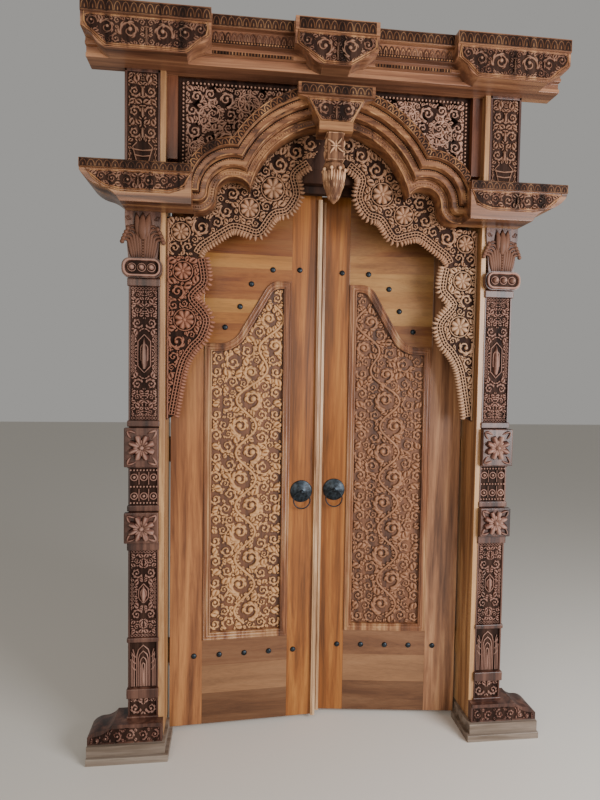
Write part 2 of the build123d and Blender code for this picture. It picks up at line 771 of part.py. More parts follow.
# Spandrel: pierced board behind the arch, whose free edge runs in scallops
with BuildPart() as spandrel:
    with BuildSketch(upright(board_y)):
        Polygon(
            (45, arch_z + arch_radius + 45), (45, wing_bottom + 255), (100, wing_bottom + 240),
            (122, wing_bottom + 170), (200, wing_bottom + 60), (285, wing_bottom + 15), (390, wing_bottom),
            (opening_half - 135, board_joint), (opening_half, board_joint),
            (opening_half, arch_z + arch_radius + 45), align=None,
        )
        scallops(spandrel_lobes)
        span(opening_half, 0, wing_reach, frame_top, mode=Mode.SUBTRACT)
        span(0, 0, opening_half, board_joint, mode=Mode.SUBTRACT)
        with BuildSketch(mode=Mode.PRIVATE) as cover:
            with Locations((0, arch_z)):
                Circle(arch_radius + board_lap)
            with Locations((shoulder_x, shoulder_z)):
                Circle(shoulder_radius + board_lap)
            span(shoulder_x, board_joint, opening_half, wing_top)
        add(cover.sketch, mode=Mode.INTERSECT)
    extrude(amount=-board_thickness)
    with BuildSketch(upright(board_y)):
        windows(spandrel_lobes)
        chips_at((
            (80, wing_bottom + 290, -60, 60, 17), (150, wing_bottom + 275, -75, 70, 18),
            (150, wing_bottom + 195, 60, 62, 17), (215, wing_bottom + 240, -85, 70, 18),
            (262, wing_bottom + 168, -95, 50, 16),
            (470, wing_bottom - 10, -60, 62, 18), (500, wing_bottom - 30, -100, 60, 18),
            (530, wing_bottom - 8, -80, 66, 18), (560, wing_bottom - 14, -95, 70, 16),
            (452, wing_bottom - 70, -40, 48, 15), (545, wing_bottom - 92, -90, 36, 16),
        ))
    extrude(amount=-board_thickness, mode=Mode.SUBTRACT)
write_pair(spandrel.part, "spandrel")

# Bracket: the lower pierced board, which tapers down the jamb
with BuildPart() as bracket:
    with BuildSketch(upright(board_y)):
        Polygon(
            (opening_half, board_joint), (opening_half - 135, board_joint), (opening_half - 133, board_joint - 55),
            (opening_half - 100, board_joint - 135), (opening_half - 70, board_joint - 220),
            (opening_half - 130, board_joint - 275), (opening_half - 90, board_joint - 350),
            (opening_half - 63, board_joint - 425), (opening_half - 50, board_joint - 480),
            (opening_half - 40, board_joint - 550), (opening_half - 13, bracket_tip), (opening_half, bracket_tip),
            align=None,
        )
        scallops(bracket_lobes)
        span(opening_half, 0, wing_reach, frame_top, mode=Mode.SUBTRACT)
        span(0, board_joint, wing_reach, frame_top, mode=Mode.SUBTRACT)
    extrude(amount=-board_thickness)
    with BuildSketch(upright(board_y)):
        windows(bracket_lobes)
        chips_at((
            (556, board_joint - 12, -90, 62, 20), (500, board_joint - 128, -75, 46, 15),
            (566, board_joint - 112, -95, 50, 15), (566, board_joint - 262, -100, 62, 16),
            (530, board_joint - 300, -65, 70, 18), (492, board_joint - 290, -80, 62, 17),
            (560, board_joint - 350, -95, 60, 16), (532, board_joint - 376, -70, 60, 15),
            (570, board_joint - 548, -95, 42, 10),
        ))
    extrude(amount=-board_thickness, mode=Mode.SUBTRACT)
write_pair(bracket.part, "bracket")

# Leaf, closed: two full-height stiles
for name, left, right in (
    ("hinge_stile", panel_hinge, leaf_edge),
    ("meeting_stile", meeting_edge, panel_meeting),
):
    with BuildPart() as stile:
        with BuildSketch(upright(leaf_y)):
            span(left, leaf_foot, right, leaf_top)
        extrude(amount=-leaf_thickness)
    write_leaf_pair(stile.part, name)

# Rails between the stiles: a deep plank at the foot and a head swept in an ogee
with BuildPart() as bottom_rail:
    with BuildSketch(upright(leaf_y)):
        span(panel_meeting, leaf_foot, panel_hinge, rail_top)
    extrude(amount=-leaf_thickness)
write_leaf_pair(bottom_rail.part, "bottom_rail")

with BuildPart() as top_rail:
    with BuildSketch(upright(leaf_y)):
        span(panel_meeting, leaf_foot + panel_low - 1, panel_hinge, leaf_top)
        add(panel_outline(0), mode=Mode.SUBTRACT)
    extrude(amount=-leaf_thickness)
write_leaf_pair(top_rail.part, "top_rail")

# Moulding round the panel: a raised inner step on a flat band
with BuildPart() as panel_moulding:
    with BuildSketch(upright(leaf_y + panel_setback)):
        add(panel_outline(0))
        add(panel_outline(moulding_width), mode=Mode.SUBTRACT)
    extrude(amount=panel_setback + moulding_proud / 2)
    with BuildSketch(upright(leaf_y - moulding_proud / 2)):
        add(panel_outline(moulding_width / 4))
        add(panel_outline(moulding_width * 3 / 4), mode=Mode.SUBTRACT)
    extrude(amount=moulding_proud / 2)
write_leaf_pair(panel_moulding.part, "panel_moulding")

# Carved panel: rings of leaves down the middle, with curls at the sides
with BuildPart() as carved_panel:
    with BuildSketch(upright(leaf_y + panel_setback)):
        add(panel_outline(0))
    extrude(amount=-panel_thickness)
    with BuildSketch(upright(leaf_y + panel_setback)):
        for level in scroll_levels:
            with Locations((panel_x, rail_top + level)):
                RegularPolygon(scroll_radius, 16)
                RegularPolygon(scroll_radius - 12, 16, mode=Mode.SUBTRACT)
            flower(panel_x, rail_top + level, 15, scroll_radius - 22, 26, 6)
            for side in (-1, 1):
                for lean in (48, -48):
                    turn = lean if side > 0 else 180 - lean
                    with turned(panel_x, rail_top + level, turn):
                        with Locations((scroll_radius - 4, 0)):
                            chip(62, 28)
        chips_at((
            (panel_meeting + 60, rail_top + 1060, 80, 110, 34), (panel_meeting + 72, rail_top + 1190, 95, 120, 34),
            (panel_meeting + 64, rail_top + 1310, 80, 58, 26), (panel_x, rail_top + 1020, 120, 70, 28),
            (panel_x + 66, rail_top + 1030, 80, 84, 30), (panel_x + 8, rail_top + 1055, 62, 70, 26),
            (panel_x + 8, rail_top + 150, -60, 96, 32), (panel_x - 8, rail_top + 150, -120, 96, 32),
            (panel_x, rail_top + 36, 90, 96, 26),
        ))
    extrude(amount=relief_height)
write_leaf_pair(carved_panel.part, "carved_panel")

# Cover strip: a narrow bead on each leaf beside the meeting line
with BuildPart() as cover_strip:
    with BuildSketch(upright(leaf_y)):
        span(meeting_edge, leaf_foot, meeting_edge + strip_width, head_bottom - stop_height - head_gap)
    extrude(amount=strip_proud)
write_leaf_pair(cover_strip.part, "cover_strip")

# Studs: iron domes along the foot and round the sweep of the head
with BuildPart() as studs:
    with BuildSketch(upright(leaf_y)):
        for step in range(5):
            with Locations((leaf_edge - stud_setout - stud_pitch * step, leaf_foot + stud_level)):
                RegularPolygon(stud_radius, 8)
        for setout, height in stud_places:
            with Locations((leaf_edge - setout, leaf_foot + height)):
                RegularPolygon(stud_radius, 8)
    extrude(amount=stud_proud, taper=38)
write_leaf_pair(studs.part, "studs")

# Hinges: on every level two knuckles on the jamb, one on the leaf, and a pin through all three
outer_knuckle = hinge_height / 2
inner_knuckle = hinge_height / 6
with BuildPart() as jamb_hinges:
    for level in hinge_levels:
        with BuildSketch(Plane.XY.offset(level - outer_knuckle)):
            span(opening_half - hinge_plate, back_y - hinge_plate_width, opening_half, back_y)
        extrude(amount=hinge_height)
        for low in (-outer_knuckle, inner_knuckle + knuckle_gap):
            with BuildSketch(Plane.XY.offset(level + low)):
                span(opening_half - hinge_plate, back_y - hinge_plate_width, opening_half, pin_y)
                with Locations((pin_x, pin_y)):
                    Circle(knuckle_radius)
                    Circle(pin_bore, mode=Mode.SUBTRACT)
            extrude(amount=outer_knuckle - inner_knuckle - knuckle_gap)
with BuildPart() as leaf_hinges:
    for level in hinge_levels:
        with BuildSketch(Plane.XY.offset(level - outer_knuckle)):
            span(leaf_edge, back_y - hinge_plate_width, leaf_edge + hinge_plate, back_y)
        extrude(amount=hinge_height)
        with BuildSketch(Plane.XY.offset(level - inner_knuckle)):
            span(leaf_edge, back_y - hinge_plate_width, leaf_edge + hinge_plate, pin_y)
            with Locations((pin_x, pin_y)):
                Circle(knuckle_radius)
                Circle(pin_bore, mode=Mode.SUBTRACT)
        extrude(amount=2 * inner_knuckle)
with BuildPart() as hinge_pins:
    for level in hinge_levels:
        with BuildSketch(Plane.XY.offset(level - outer_knuckle - pin_head)):
            with Locations((pin_x, pin_y)):
                Circle(pin_radius)
        extrude(amount=hinge_height + pin_head)
        with BuildSketch(Plane.XY.offset(level + outer_knuckle)):
            with Locations((pin_x, pin_y)):
                Circle(knuckle_radius - 1)
        extrude(amount=pin_head)
write(Compound(jamb_hinges.part.solids() + mirror(jamb_hinges.part, about=Plane.YZ).solids()), "jamb_hinges")
write(Compound(hinge_pins.part.solids() + mirror(hinge_pins.part, about=Plane.YZ).solids()), "hinge_pins")
write_leaf_pair(leaf_hinges.part, "leaf_hinges")

# Pulls: an iron plate that rises to an eye, and the ring that hangs in it
pull_x = meeting_edge + pull_setout
pull_z = leaf_foot + pull_level
with BuildPart() as pull_plate:
    with BuildSketch(upright(leaf_y)):
        with Locations((pull_x, pull_z)):
            Circle(plate_radius)
    extrude(amount=plate_rim)
    with BuildSketch(upright(leaf_y - plate_rim)):
        with Locations((pull_x, pull_z)):
            Circle(plate_radius - plate_rim)
    extrude(amount=plate_crown - plate_rim, taper=65)
    with BuildSketch(upright(leaf_y)):
        with Locations((pull_x, pull_z)):
            Rectangle(2 * boss_half, 2 * boss_half + 6)
    extrude(amount=boss_reach)
    with BuildSketch(Plane.YZ.offset(pull_x - 2 * boss_half)):
        with Locations((leaf_y - eye_reach, pull_z)):
            Circle(eye_radius)
    extrude(amount=4 * boss_half, mode=Mode.SUBTRACT)
write_leaf_pair(pull_plate.part, "pull_plate")

with BuildPart() as ring:
    with BuildSketch(Plane.XY.offset(pull_z - ring_radius)):
        with Locations((pull_x + ring_radius, leaf_y - eye_reach)):
            RegularPolygon(wire_radius, 6)
    revolve(axis=Axis((pull_x, 0, pull_z - ring_radius), (0, 1, 0)))
write_leaf_pair(ring.part, "ring")
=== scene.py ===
"""Carved teak doorway with two leaves: the looks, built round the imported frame."""

import json
import logging
import math
import random
from collections.abc import Callable, Iterable, Sequence
from dataclasses import dataclass, field
from enum import Enum
from functools import cache

import bmesh
import bpy
import numpy as np
from mathutils import Matrix, Vector

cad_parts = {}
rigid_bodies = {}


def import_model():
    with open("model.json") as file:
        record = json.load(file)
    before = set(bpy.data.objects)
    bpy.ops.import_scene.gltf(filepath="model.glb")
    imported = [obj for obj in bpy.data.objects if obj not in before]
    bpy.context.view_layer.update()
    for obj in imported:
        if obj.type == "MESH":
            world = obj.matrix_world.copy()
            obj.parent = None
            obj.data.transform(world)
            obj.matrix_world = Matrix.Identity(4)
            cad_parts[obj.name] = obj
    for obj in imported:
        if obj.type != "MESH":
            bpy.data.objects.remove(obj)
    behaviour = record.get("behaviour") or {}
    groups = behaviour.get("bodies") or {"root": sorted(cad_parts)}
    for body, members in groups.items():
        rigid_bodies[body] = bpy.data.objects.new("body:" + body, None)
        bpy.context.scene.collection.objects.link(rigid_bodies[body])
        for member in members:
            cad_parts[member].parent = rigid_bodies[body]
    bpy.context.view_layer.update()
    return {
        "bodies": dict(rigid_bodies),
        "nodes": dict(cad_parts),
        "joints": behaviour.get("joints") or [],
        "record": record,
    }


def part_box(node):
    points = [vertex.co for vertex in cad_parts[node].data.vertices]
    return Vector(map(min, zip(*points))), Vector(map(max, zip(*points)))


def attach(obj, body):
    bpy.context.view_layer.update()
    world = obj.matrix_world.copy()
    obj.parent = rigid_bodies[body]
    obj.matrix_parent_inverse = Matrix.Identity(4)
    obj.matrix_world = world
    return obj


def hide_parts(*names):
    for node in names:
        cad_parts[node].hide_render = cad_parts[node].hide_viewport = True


logging.basicConfig(level=logging.INFO, format="%(name)s: %(message)s")
log = logging.getLogger("doorway")

MM = 0.001
# Height above the ground at which a crest gets its palest painted highlight.
CREST = 4.5 * MM
# Beads made in one mesh at a time.
BATCH = 40
# Component of a position that runs upwards.
HEIGHT = 2
# A stroke drawn once, where it is.
NO_COPY = (0.0, 0.0, 1, 1)
# Real sizes of the waves in the grain, of the growth rings, of the fibres and of the hammer's dents;
# the fibres are coarser than real ones, so that they show.
WARP_SIZE = 111.111 * MM
RING_SIZE = 38.4615 * MM
FIBRE_SIZE = 3.0303 * MM
FIBRE_DEPTH = 0.8 * MM
HAMMER_SIZE = 11.1111 * MM
HAMMER_DEPTH = 1 * MM
Point = tuple[float, float]
Circle = tuple[float, float, float]
Colour = tuple[float, float, float, float]
Bead = tuple[float, float, float, float]
Copy = tuple[float, float, int, int]
Source = bpy.types.NodeSocket | float | Colour


class Grain(Enum):
    """Which way the fibres of a piece of wood run."""

    UPRIGHT = (1.0, 1.0, 0.05)
    LEVEL = (0.05, 1.0, 1.0)


class Side(Enum):
    """The two halves of the doorway; the value is the sign of X."""

    LEFT = -1
    RIGHT = 1

    @property
    def word(self) -> str:
        """The side's name as the frame's nodes spell it."""
        return self.name.lower()


@dataclass(frozen=True)
class Plank:
    """One board of a glued-up panel: where it ends, and its colour."""

    end: float
    colour: str


@dataclass(frozen=True)
class Wood:
    """A teak finish.

    Args:
        name: Name of the material.
        body: Main colour.
        deep: Colour of dark grain, and of the painted shade on the carving's ground and in its hollows.
        pale: Colour of light streaks, and of the painted highlight on the crests.
        grain: Direction of the fibres.
        carved: Whether the tone follows the height of the carving, as painted shade low down and a painted highlight
            on the crests.
        planks: Boards, in rising order of height, for a piece glued up from several.
        figure: How strongly the growth rings show.
        roughness: Roughness of the varnish.
    """

    name: str
    body: str
    deep: str
    pale: str
    grain: Grain = Grain.UPRIGHT
    carved: bool = False
    planks: tuple[Plank, ...] = ()
    figure: float = 0.9
    roughness: float = 0.42


# Oiled teak of the posts: reddish, with painted shade nearly black in the hollows and a greyish pink painted
# highlight on the crests.
POST = Wood("teak_post", "#654238", "#180d0a", "#9a786a", carved=True, roughness=0.5)
POST_BLOCK = Wood("teak_post_block", "#482b21", "#1d0f0b", "#6b4a3c", roughness=0.48)
# Varnished teak on the jambs' front edge, painted golden as a highlight where light falls on it.
EDGE = Wood("teak_edge", "#9b724b", "#6b482c", "#c29a6a", roughness=0.45)
# Heartwood round the transom, painted dark because it is unlit, and the lintel behind the pendant, painted nearly
# black as the shade there.
LINING = Wood("teak_lining", "#5d3522", "#30190f", "#7c4c31")
LINTEL_SHADE = Wood("teak_lintel", "#2c1a12", "#1a0f0a", "#3d261b", roughness=0.7)
# Dark heartwood of the capitals, with a soft painted highlight on the plumes.
CAPITAL = Wood("teak_capital", "#432a20", "#130a07", "#6b4a3a", carved=True, roughness=0.5)
# Golden varnished teak of the hood, streaked with dark growth rings.
HOOD = Wood("teak_hood", "#7c5337", "#2a170f", "#ae845c", carved=True, roughness=0.4)
HOOD_PLAIN = Wood("teak_hood_plain", "#754c32", "#3e2418", "#a1764f", grain=Grain.LEVEL, roughness=0.4)
# Light teak of the pendant, with a painted highlight that makes its crests nearly cream.
PENDANT_GROUND = Wood("teak_pendant_ground", "#805c43", "#492d1f", "#a17b5b", roughness=0.65)
PENDANT = Wood("teak_pendant", "#b38769", "#4b2e20", "#cda883", carved=True, roughness=0.45)
# Satin teak of the cornice and of the carved fields let into it; the near-black finish behind carving, in grooves and
# in openings is painted shade.
CORNICE = Wood("teak_cornice", "#7c523a", "#472a1c", "#ab7c59", grain=Grain.LEVEL, roughness=0.45)
CARTOUCHE = Wood("teak_cartouche", "#644335", "#120906", "#93705b", carved=True, roughness=0.5)
SHADE_FIELD = Wood("teak_field", "#2b1a13", "#170d09", "#422e25", roughness=0.8)
# Pierced teak: crests with a painted highlight, before a hollow that is painted black as shade.
FRETWORK = Wood("teak_fretwork", "#7d5747", "#1f0f0a", "#ae8a77", carved=True, roughness=0.5)
BOARD_HIGH = Wood("teak_board_high", "#77533f", "#1f100a", "#a27c61", carved=True, roughness=0.5)
BOARD_LEFT = Wood("teak_board_left", "#623a2a", "#1d0c08", "#946652", carved=True, roughness=0.5)
BOARD_RIGHT = Wood("teak_board_right", "#8a6550", "#2a1710", "#b29073", carved=True, roughness=0.5)
# Waxed teak of the panels, the left one yellower.
PANEL_LEFT = Wood("teak_panel_left", "#9b6e4b", "#472716", "#c1966b", carved=True, roughness=0.42)
PANEL_RIGHT = Wood("teak_panel_right", "#6e4833", "#2c1710", "#9c7257", carved=True, roughness=0.42)
PANEL_GROUND = Wood("teak_panel_ground", "#5f3b25", "#3a2115", "#74492d", roughness=0.6)
# Glossy varnished teak of the leaves' frame, with long upright figure.
STILE_LEFT = Wood("teak_stile_left", "#895835", "#56311c", "#b17a49", roughness=0.34)
STILE_RIGHT = Wood("teak_stile_right", "#8a5f42", "#523423", "#b68962", roughness=0.34)
MEETING = Wood("teak_meeting", "#844e22", "#522e11", "#a76f35", roughness=0.34)
MOULDING = Wood("teak_moulding", "#7b4d30", "#412517", "#ae865e", roughness=0.36)
STRIP = Wood("teak_strip", "#b08c68", "#70492c", "#d6b894", roughness=0.36)
# Weathered, unvarnished teak, gone grey near the floor.
PLINTH = Wood("teak_plinth", "#786a5e", "#554638", "#908579", grain=Grain.LEVEL, roughness=0.55)
# Glossy rails glued up from boards that differ in tone.
BOTTOM_RAIL = Wood(
    "teak_bottom_rail", "#765236", "#462c1c", "#906c4d", grain=Grain.LEVEL, roughness=0.34,
    planks=(Plank(0.1375, "#583823"), Plank(0.2475, "#8a6445"), Plank(0.40, "#6d4830")),
)
TOP_RAIL_LEFT = Wood(
    "teak_top_rail_left", "#99632f", "#562a10", "#a57640", grain=Grain.LEVEL, roughness=0.34,
    planks=(
        Plank(1.5875, "#7c491f"), Plank(1.631, "#855323"), Plank(1.681, "#9b6d35"), Plank(1.7975, "#703e1e"),
        Plank(1.855, "#976733"), Plank(1.944, "#592a16"), Plank(2.2, "#61371d"),
    ),
)
TOP_RAIL_RIGHT = Wood(
    "teak_top_rail_right", "#966739", "#542e18", "#a87f4d", grain=Grain.LEVEL, roughness=0.34,
    planks=(
        Plank(1.594, "#6d4124"), Plank(1.66, "#987141"), Plank(1.735, "#8a6035"), Plank(1.80, "#956e40"),
        Plank(1.869, "#7f5631"), Plank(1.95, "#643b24"), Plank(2.2, "#684128"),
    ),
)


def linear(code: str) -> Colour:
    """Turns an sRGB hex code into a linear colour.

    Args:
        code: Colour such as "#a06a40".

    Returns:
        Red, green, blue and alpha for a shader socket.
    """
    channels = [int(code[i:i + 2], 16) / 255 for i in (1, 3, 5)]
    r, g, b = (c / 12.92 if c <= 0.04045 else ((c + 0.055) / 1.055) ** 2.4 for c in channels)
    return (r, g, b, 1.0)


class Shader:
    """Node tree of one material."""

    def __init__(self, name: str) -> None:
        """Makes an empty tree with its output.

        Args:
            name: Name of the material.
        """
        self.material = bpy.data.materials.new(name)
        self.material.use_nodes = True
        self.tree = self.material.node_tree
        self.tree.nodes.clear()
        self.surface = self.node("ShaderNodeBsdfPrincipled")
        output = self.node("ShaderNodeOutputMaterial")
        self.tree.links.new(self.surface.outputs[0], output.inputs[0])

    def node(self, kind: str, links: dict | None = None, values: dict | None = None,
             **settings: object) -> bpy.types.Node:
        """Adds a node.

        Args:
            kind: Class of the node.
            links: Input socket to the output socket that feeds it.
            values: Input socket to the constant it keeps.
            settings: Properties of the node.

        Returns:
            The new node.
        """
        made = self.tree.nodes.new(kind)
        for key, value in settings.items():
            setattr(made, key, value)
        for key, value in (values or {}).items():
            made.inputs[key].default_value = value
        for key, source in (links or {}).items():
            self.tree.links.new(source, made.inputs[key])
        return made

    def noise(self, place: bpy.types.NodeSocket, size: float, detail: float,
              roughness: float = 0.5) -> bpy.types.Node:
        """Adds a cloudy noise.

        Args:
            place: Position that it reads.
            size: Real size of its largest clouds.
            detail: How many finer layers lie on them.
            roughness: How strong the finer layers are.

        Returns:
            The node.
        """
        return self.node("ShaderNodeTexNoise", {"Vector": place},
                         {"Scale": 1 / size, "Detail": detail, "Roughness": roughness})

    def ramp(self, factor: bpy.types.NodeSocket, stops: Sequence[tuple[float, Colour]],
             constant: bool = False) -> bpy.types.NodeSocket:
        """Adds a colour ramp.

        Args:
            factor: What the ramp reads.
            stops: Place and colour of each stop.
            constant: Whether the colours change at once.

        Returns:
            The ramp's colour.
        """
        made = self.node("ShaderNodeValToRGB", {0: factor})
        elements = made.color_ramp.elements
        made.color_ramp.interpolation = "CONSTANT" if constant else "LINEAR"
        while len(elements) < len(stops):
            elements.new(1.0)
        for element, (place, colour) in zip(elements, stops):
            element.position = place
            element.color = colour
        return made.outputs[0]

    def blend(self, factor: Source, first: Source, second: Source, mode: str = "MIX") -> bpy.types.NodeSocket:
        """Mixes two colours, each of them linked or constant.

        Args:
            factor: Share of the second colour.
            first: First colour.
            second: Second colour.
            mode: Way of mixing.

        Returns:
            The mixed colour.
        """
        made = self.node("ShaderNodeMix", data_type="RGBA", blend_type=mode)
        for socket, source in ((0, factor), (6, first), (7, second)):
            if isinstance(source, bpy.types.NodeSocket):
                self.tree.links.new(source, made.inputs[socket])
            else:
                made.inputs[socket].default_value = source
        return made.outputs[2]


class Palette:
    """Materials by finish, each made once."""

    def __init__(self) -> None:
        """Starts with no material."""
        self._made: dict[str, bpy.types.Material] = {}

    def wood(self, finish: Wood) -> bpy.types.Material:
        """Finds the material of a teak finish, or makes it.

        Args:
            finish: Colours, grain and gloss.

        Returns:
            The material.
        """
        if finish.name not in self._made:
            self._made[finish.name] = self._teak(finish)
        return self._made[finish.name]

    def _teak(self, finish: Wood) -> bpy.types.Material:
        """Makes the material of a teak finish.

        Args:
            finish: Colours, grain and gloss.

        Returns:
            The new material.
        """
        shader = Shader(finish.name)
        place = shader.node("ShaderNodeTexCoord").outputs["Object"]
        run = shader.node("ShaderNodeMapping", {0: place}, {"Scale": Vector(finish.grain.value)}).outputs[0]
        # Broad waves bend the growth rings and the fibres, which gives the wandering figure of flat-sawn teak.
        warp = shader.noise(run, WARP_SIZE, 3.0)
        sway = shader.node("ShaderNodeVectorMath", {0: warp.outputs["Color"]}, {"Scale": 0.10}, operation="SCALE")
        bent = shader.node("ShaderNodeVectorMath", {0: run, 1: sway.outputs[0]}, operation="ADD").outputs[0]
        figure = shader.noise(bent, RING_SIZE, 5.0, 0.62)
        fibre = shader.noise(bent, FIBRE_SIZE, 2.0, 0.6)
        tone = shader.ramp(figure.outputs[0], ((0.36, linear(finish.deep)), (0.50, linear(finish.body)),
                                               (0.66, linear(finish.pale))))
        # Boards of a glued-up rail keep their own tones, so that its joints show as level steps.
        if finish.planks:
            axis = shader.node("ShaderNodeSeparateXYZ", {0: place}).outputs[HEIGHT]
            top = finish.planks[-1].end
            level = shader.node("ShaderNodeMath", {0: axis}, {1: top}, operation="DIVIDE").outputs[0]
            starts = (0.0, *(plank.end / top for plank in finish.planks[:-1]))
            stops = tuple((start, linear(plank.colour)) for start, plank in zip(starts, finish.planks))
            board = shader.ramp(level, stops, constant=True)
            tone = shader.blend(0.32, board, tone)
        else:
            tone = shader.blend(finish.figure, linear(finish.body), tone)
        streak = shader.ramp(fibre.outputs[0], ((0.25, (0.72, 0.70, 0.68, 1)), (0.6, (1.06, 1.05, 1.04, 1))))
        tone = shader.blend(0.7, tone, streak, "MULTIPLY")
        # Painted highlight and painted shade: following the carving's height, the crests are painted pale and the
        # hollows dark.
        if finish.carved:
            height = shader.node("ShaderNodeAttribute", attribute_name="relief").outputs["Fac"]
            painted_highlight = shader.ramp(height, ((0.55, (0, 0, 0, 1)), (1.0, (0.75, 0.75, 0.75, 1))))
            tone = shader.blend(painted_highlight, tone, linear(finish.pale))
            low = shader.ramp(height, ((0.0, (0.25, 0.25, 0.25, 1)), (0.35, (1, 1, 1, 1))))
            tone = shader.blend(low, linear(finish.deep), tone)
        bump = shader.node("ShaderNodeBump", {"Height": fibre.outputs[0]},
                           {"Strength": 0.18, "Distance": FIBRE_DEPTH})
        inputs = shader.surface.inputs
        shader.tree.links.new(tone, inputs["Base Color"])
        shader.tree.links.new(bump.outputs[0], inputs["Normal"])
        inputs["Roughness"].default_value = finish.roughness
        # Plain timbers keep a coat of varnish; carving and dark grounds have lost theirs.
        rough = finish.carved or finish.roughness > 0.6
        inputs["Coat Weight"].default_value = 0.0 if rough else 0.22
        inputs["Coat Roughness"].default_value = 0.25
        inputs["Specular IOR Level"].default_value = 0.15 if rough else 0.4
        return shader.material

    def iron(self) -> bpy.types.Material:
        """Finds the iron of the fittings, or makes it.

        Returns:
            The material.
        """
        if "iron" not in self._made:
            # Blackened, hammered iron: bluish black, with soft dents that break up its sheen.
            shader = Shader("iron_blackened")
            place = shader.node("ShaderNodeTexCoord").outputs["Object"]
            cloud = shader.noise(place, HAMMER_SIZE, 4.0)
            tone = shader.ramp(cloud.outputs[0], ((0.35, linear("#15191d")), (0.65, linear("#343d45"))))
            bump = shader.node("ShaderNodeBump", {"Height": cloud.outputs[0]},
                               {"Strength": 0.3, "Distance": HAMMER_DEPTH})
            shader.tree.links.new(tone, shader.surface.inputs["Base Color"])
            shader.tree.links.new(bump.outputs[0], shader.surface.inputs["Normal"])
            shader.surface.inputs["Metallic"].default_value = 0.7
            shader.surface.inputs["Roughness"].default_value = 0.42
            self._made["iron"] = shader.material
        return self._made["iron"]

    def plain(self, name: str, colour: str, roughness: float) -> bpy.types.Material:
        """Makes an even, rough finish for the studio.

        Args:
            name: Name of the material.
            colour: Colour as an sRGB code.
            roughness: Roughness of the surface.

        Returns:
            The material.
        """
        if name not in self._made:
            shader = Shader(name)
            shader.surface.inputs["Base Color"].default_value = linear(colour)
            shader.surface.inputs["Roughness"].default_value = roughness
            self._made[name] = shader.material
        return self._made[name]


@dataclass
class Mount:
    """Where a group of pieces sits: the body it rides, its side, and the turn of its leaf.

    Args:
        body: Body of the frame that the pieces move with.
        side: Half of the doorway; pieces are drawn for the right and mirrored for the left.
        turn: Turn that a leaf standing ajar has made about its pins.
    """

    body: str
    side: Side = Side.RIGHT
    turn: Matrix = field(default_factory=lambda: Matrix.Identity(4))


class Workshop:
    """Finishes meshes: names them, gives them their material and hangs them on a body."""

    def __init__(self, palette: Palette) -> None:
        """Keeps the palette at hand."""
        self.palette = palette

    def finish(self, mesh: bpy.types.Mesh, name: str, finish: Wood | None, mount: Mount, smooth: bool = True,
               replaces: Sequence[str] = ()) -> None:
        """Turns a mesh drawn for the closed right half into a finished piece.

        Args:
            mesh: Mesh in the row frame, drawn on the right, with its leaf closed.
            name: Name of the piece.
            finish: Teak finish, or None for iron.
            mount: Where the piece sits.
            smooth: Whether its faces are shaded round.
            replaces: Nodes of the frame that the piece stands for.
        """
        if mount.side is Side.LEFT:
            mesh.transform(Matrix.Scale(-1, 4, (1, 0, 0)))
            mesh.flip_normals()
        mesh.transform(mount.turn)
        mesh.polygons.foreach_set("use_smooth", [smooth] * len(mesh.polygons))
        mesh.materials.clear()
        mesh.materials.append(self.palette.wood(finish) if finish else self.palette.iron())
        mesh.name = name
        piece = bpy.data.objects.new(name, mesh)
        bpy.context.scene.collection.objects.link(piece)
        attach(piece, mount.body)
        if replaces:
            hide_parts(*replaces)
        log.info("%s: %d faces", name, len(mesh.polygons))

    def carve(self, carving: "Carving", finish: Wood, mount: Mount, segments: int = 8) -> None:
        """Finishes a carving under its own name.

        Args:
            carving: Relief, with all its strokes drawn.
            finish: Teak finish.
            mount: Where it sits.
            segments: Sides of a bead.
        """
        self.finish(carving.mesh(segments), carving.name, finish, mount)

    def ground(self, mesh: bpy.types.Mesh, name: str, mount: Mount, replaces: Sequence[str] = ()) -> None:
        """Finishes a field that carving is laid on, painted near black as the shade of its hollows.

        Args:
            mesh: Mesh of the field.
            name: Name of the piece.
            mount: Where it sits.
            replaces: Nodes of the frame that the piece stands for.
        """
        self.finish(mesh, name, SHADE_FIELD, mount, smooth=False, replaces=replaces)


def mesh_of(build: Callable[[bmesh.types.BMesh], None], name: str = "mesh") -> bpy.types.Mesh:
    """Makes a mesh from a function that draws into a bmesh.

    Args:
        build: Function that draws.
        name: Name of the mesh.

    Returns:
        The mesh.
    """
    shape = bmesh.new()
    build(shape)
    mesh = bpy.data.meshes.new(name)
    shape.to_mesh(mesh)
    shape.free()
    return mesh


def block(low: Sequence[float], high: Sequence[float], bevel: float = 0.0) -> bpy.types.Mesh:
    """A box between two corners with softened edges.

    Args:
        low: Corner with the lowest X, Y and Z.
        high: Corner with the highest X, Y and Z.
        bevel: Width of the softened edges.

    Returns:
        The mesh.
    """
    def build(shape: bmesh.types.BMesh) -> None:
        """Draws the shape.

        Args:
            shape: Mesh that is drawn into.
        """
        size = Vector(high) - Vector(low)
        middle = (Vector(high) + Vector(low)) / 2
        made = bmesh.ops.create_cube(shape, size=1.0, matrix=Matrix.Translation(middle) @ Matrix.Diagonal((*size, 1)))
        if bevel:
            edges = {edge for vertex in made["verts"] for edge in vertex.link_edges}
            bmesh.ops.bevel(shape, geom=list(edges), offset=bevel, segments=2, profile=0.5, affect="EDGES",
                            material=-1)

    return mesh_of(build)


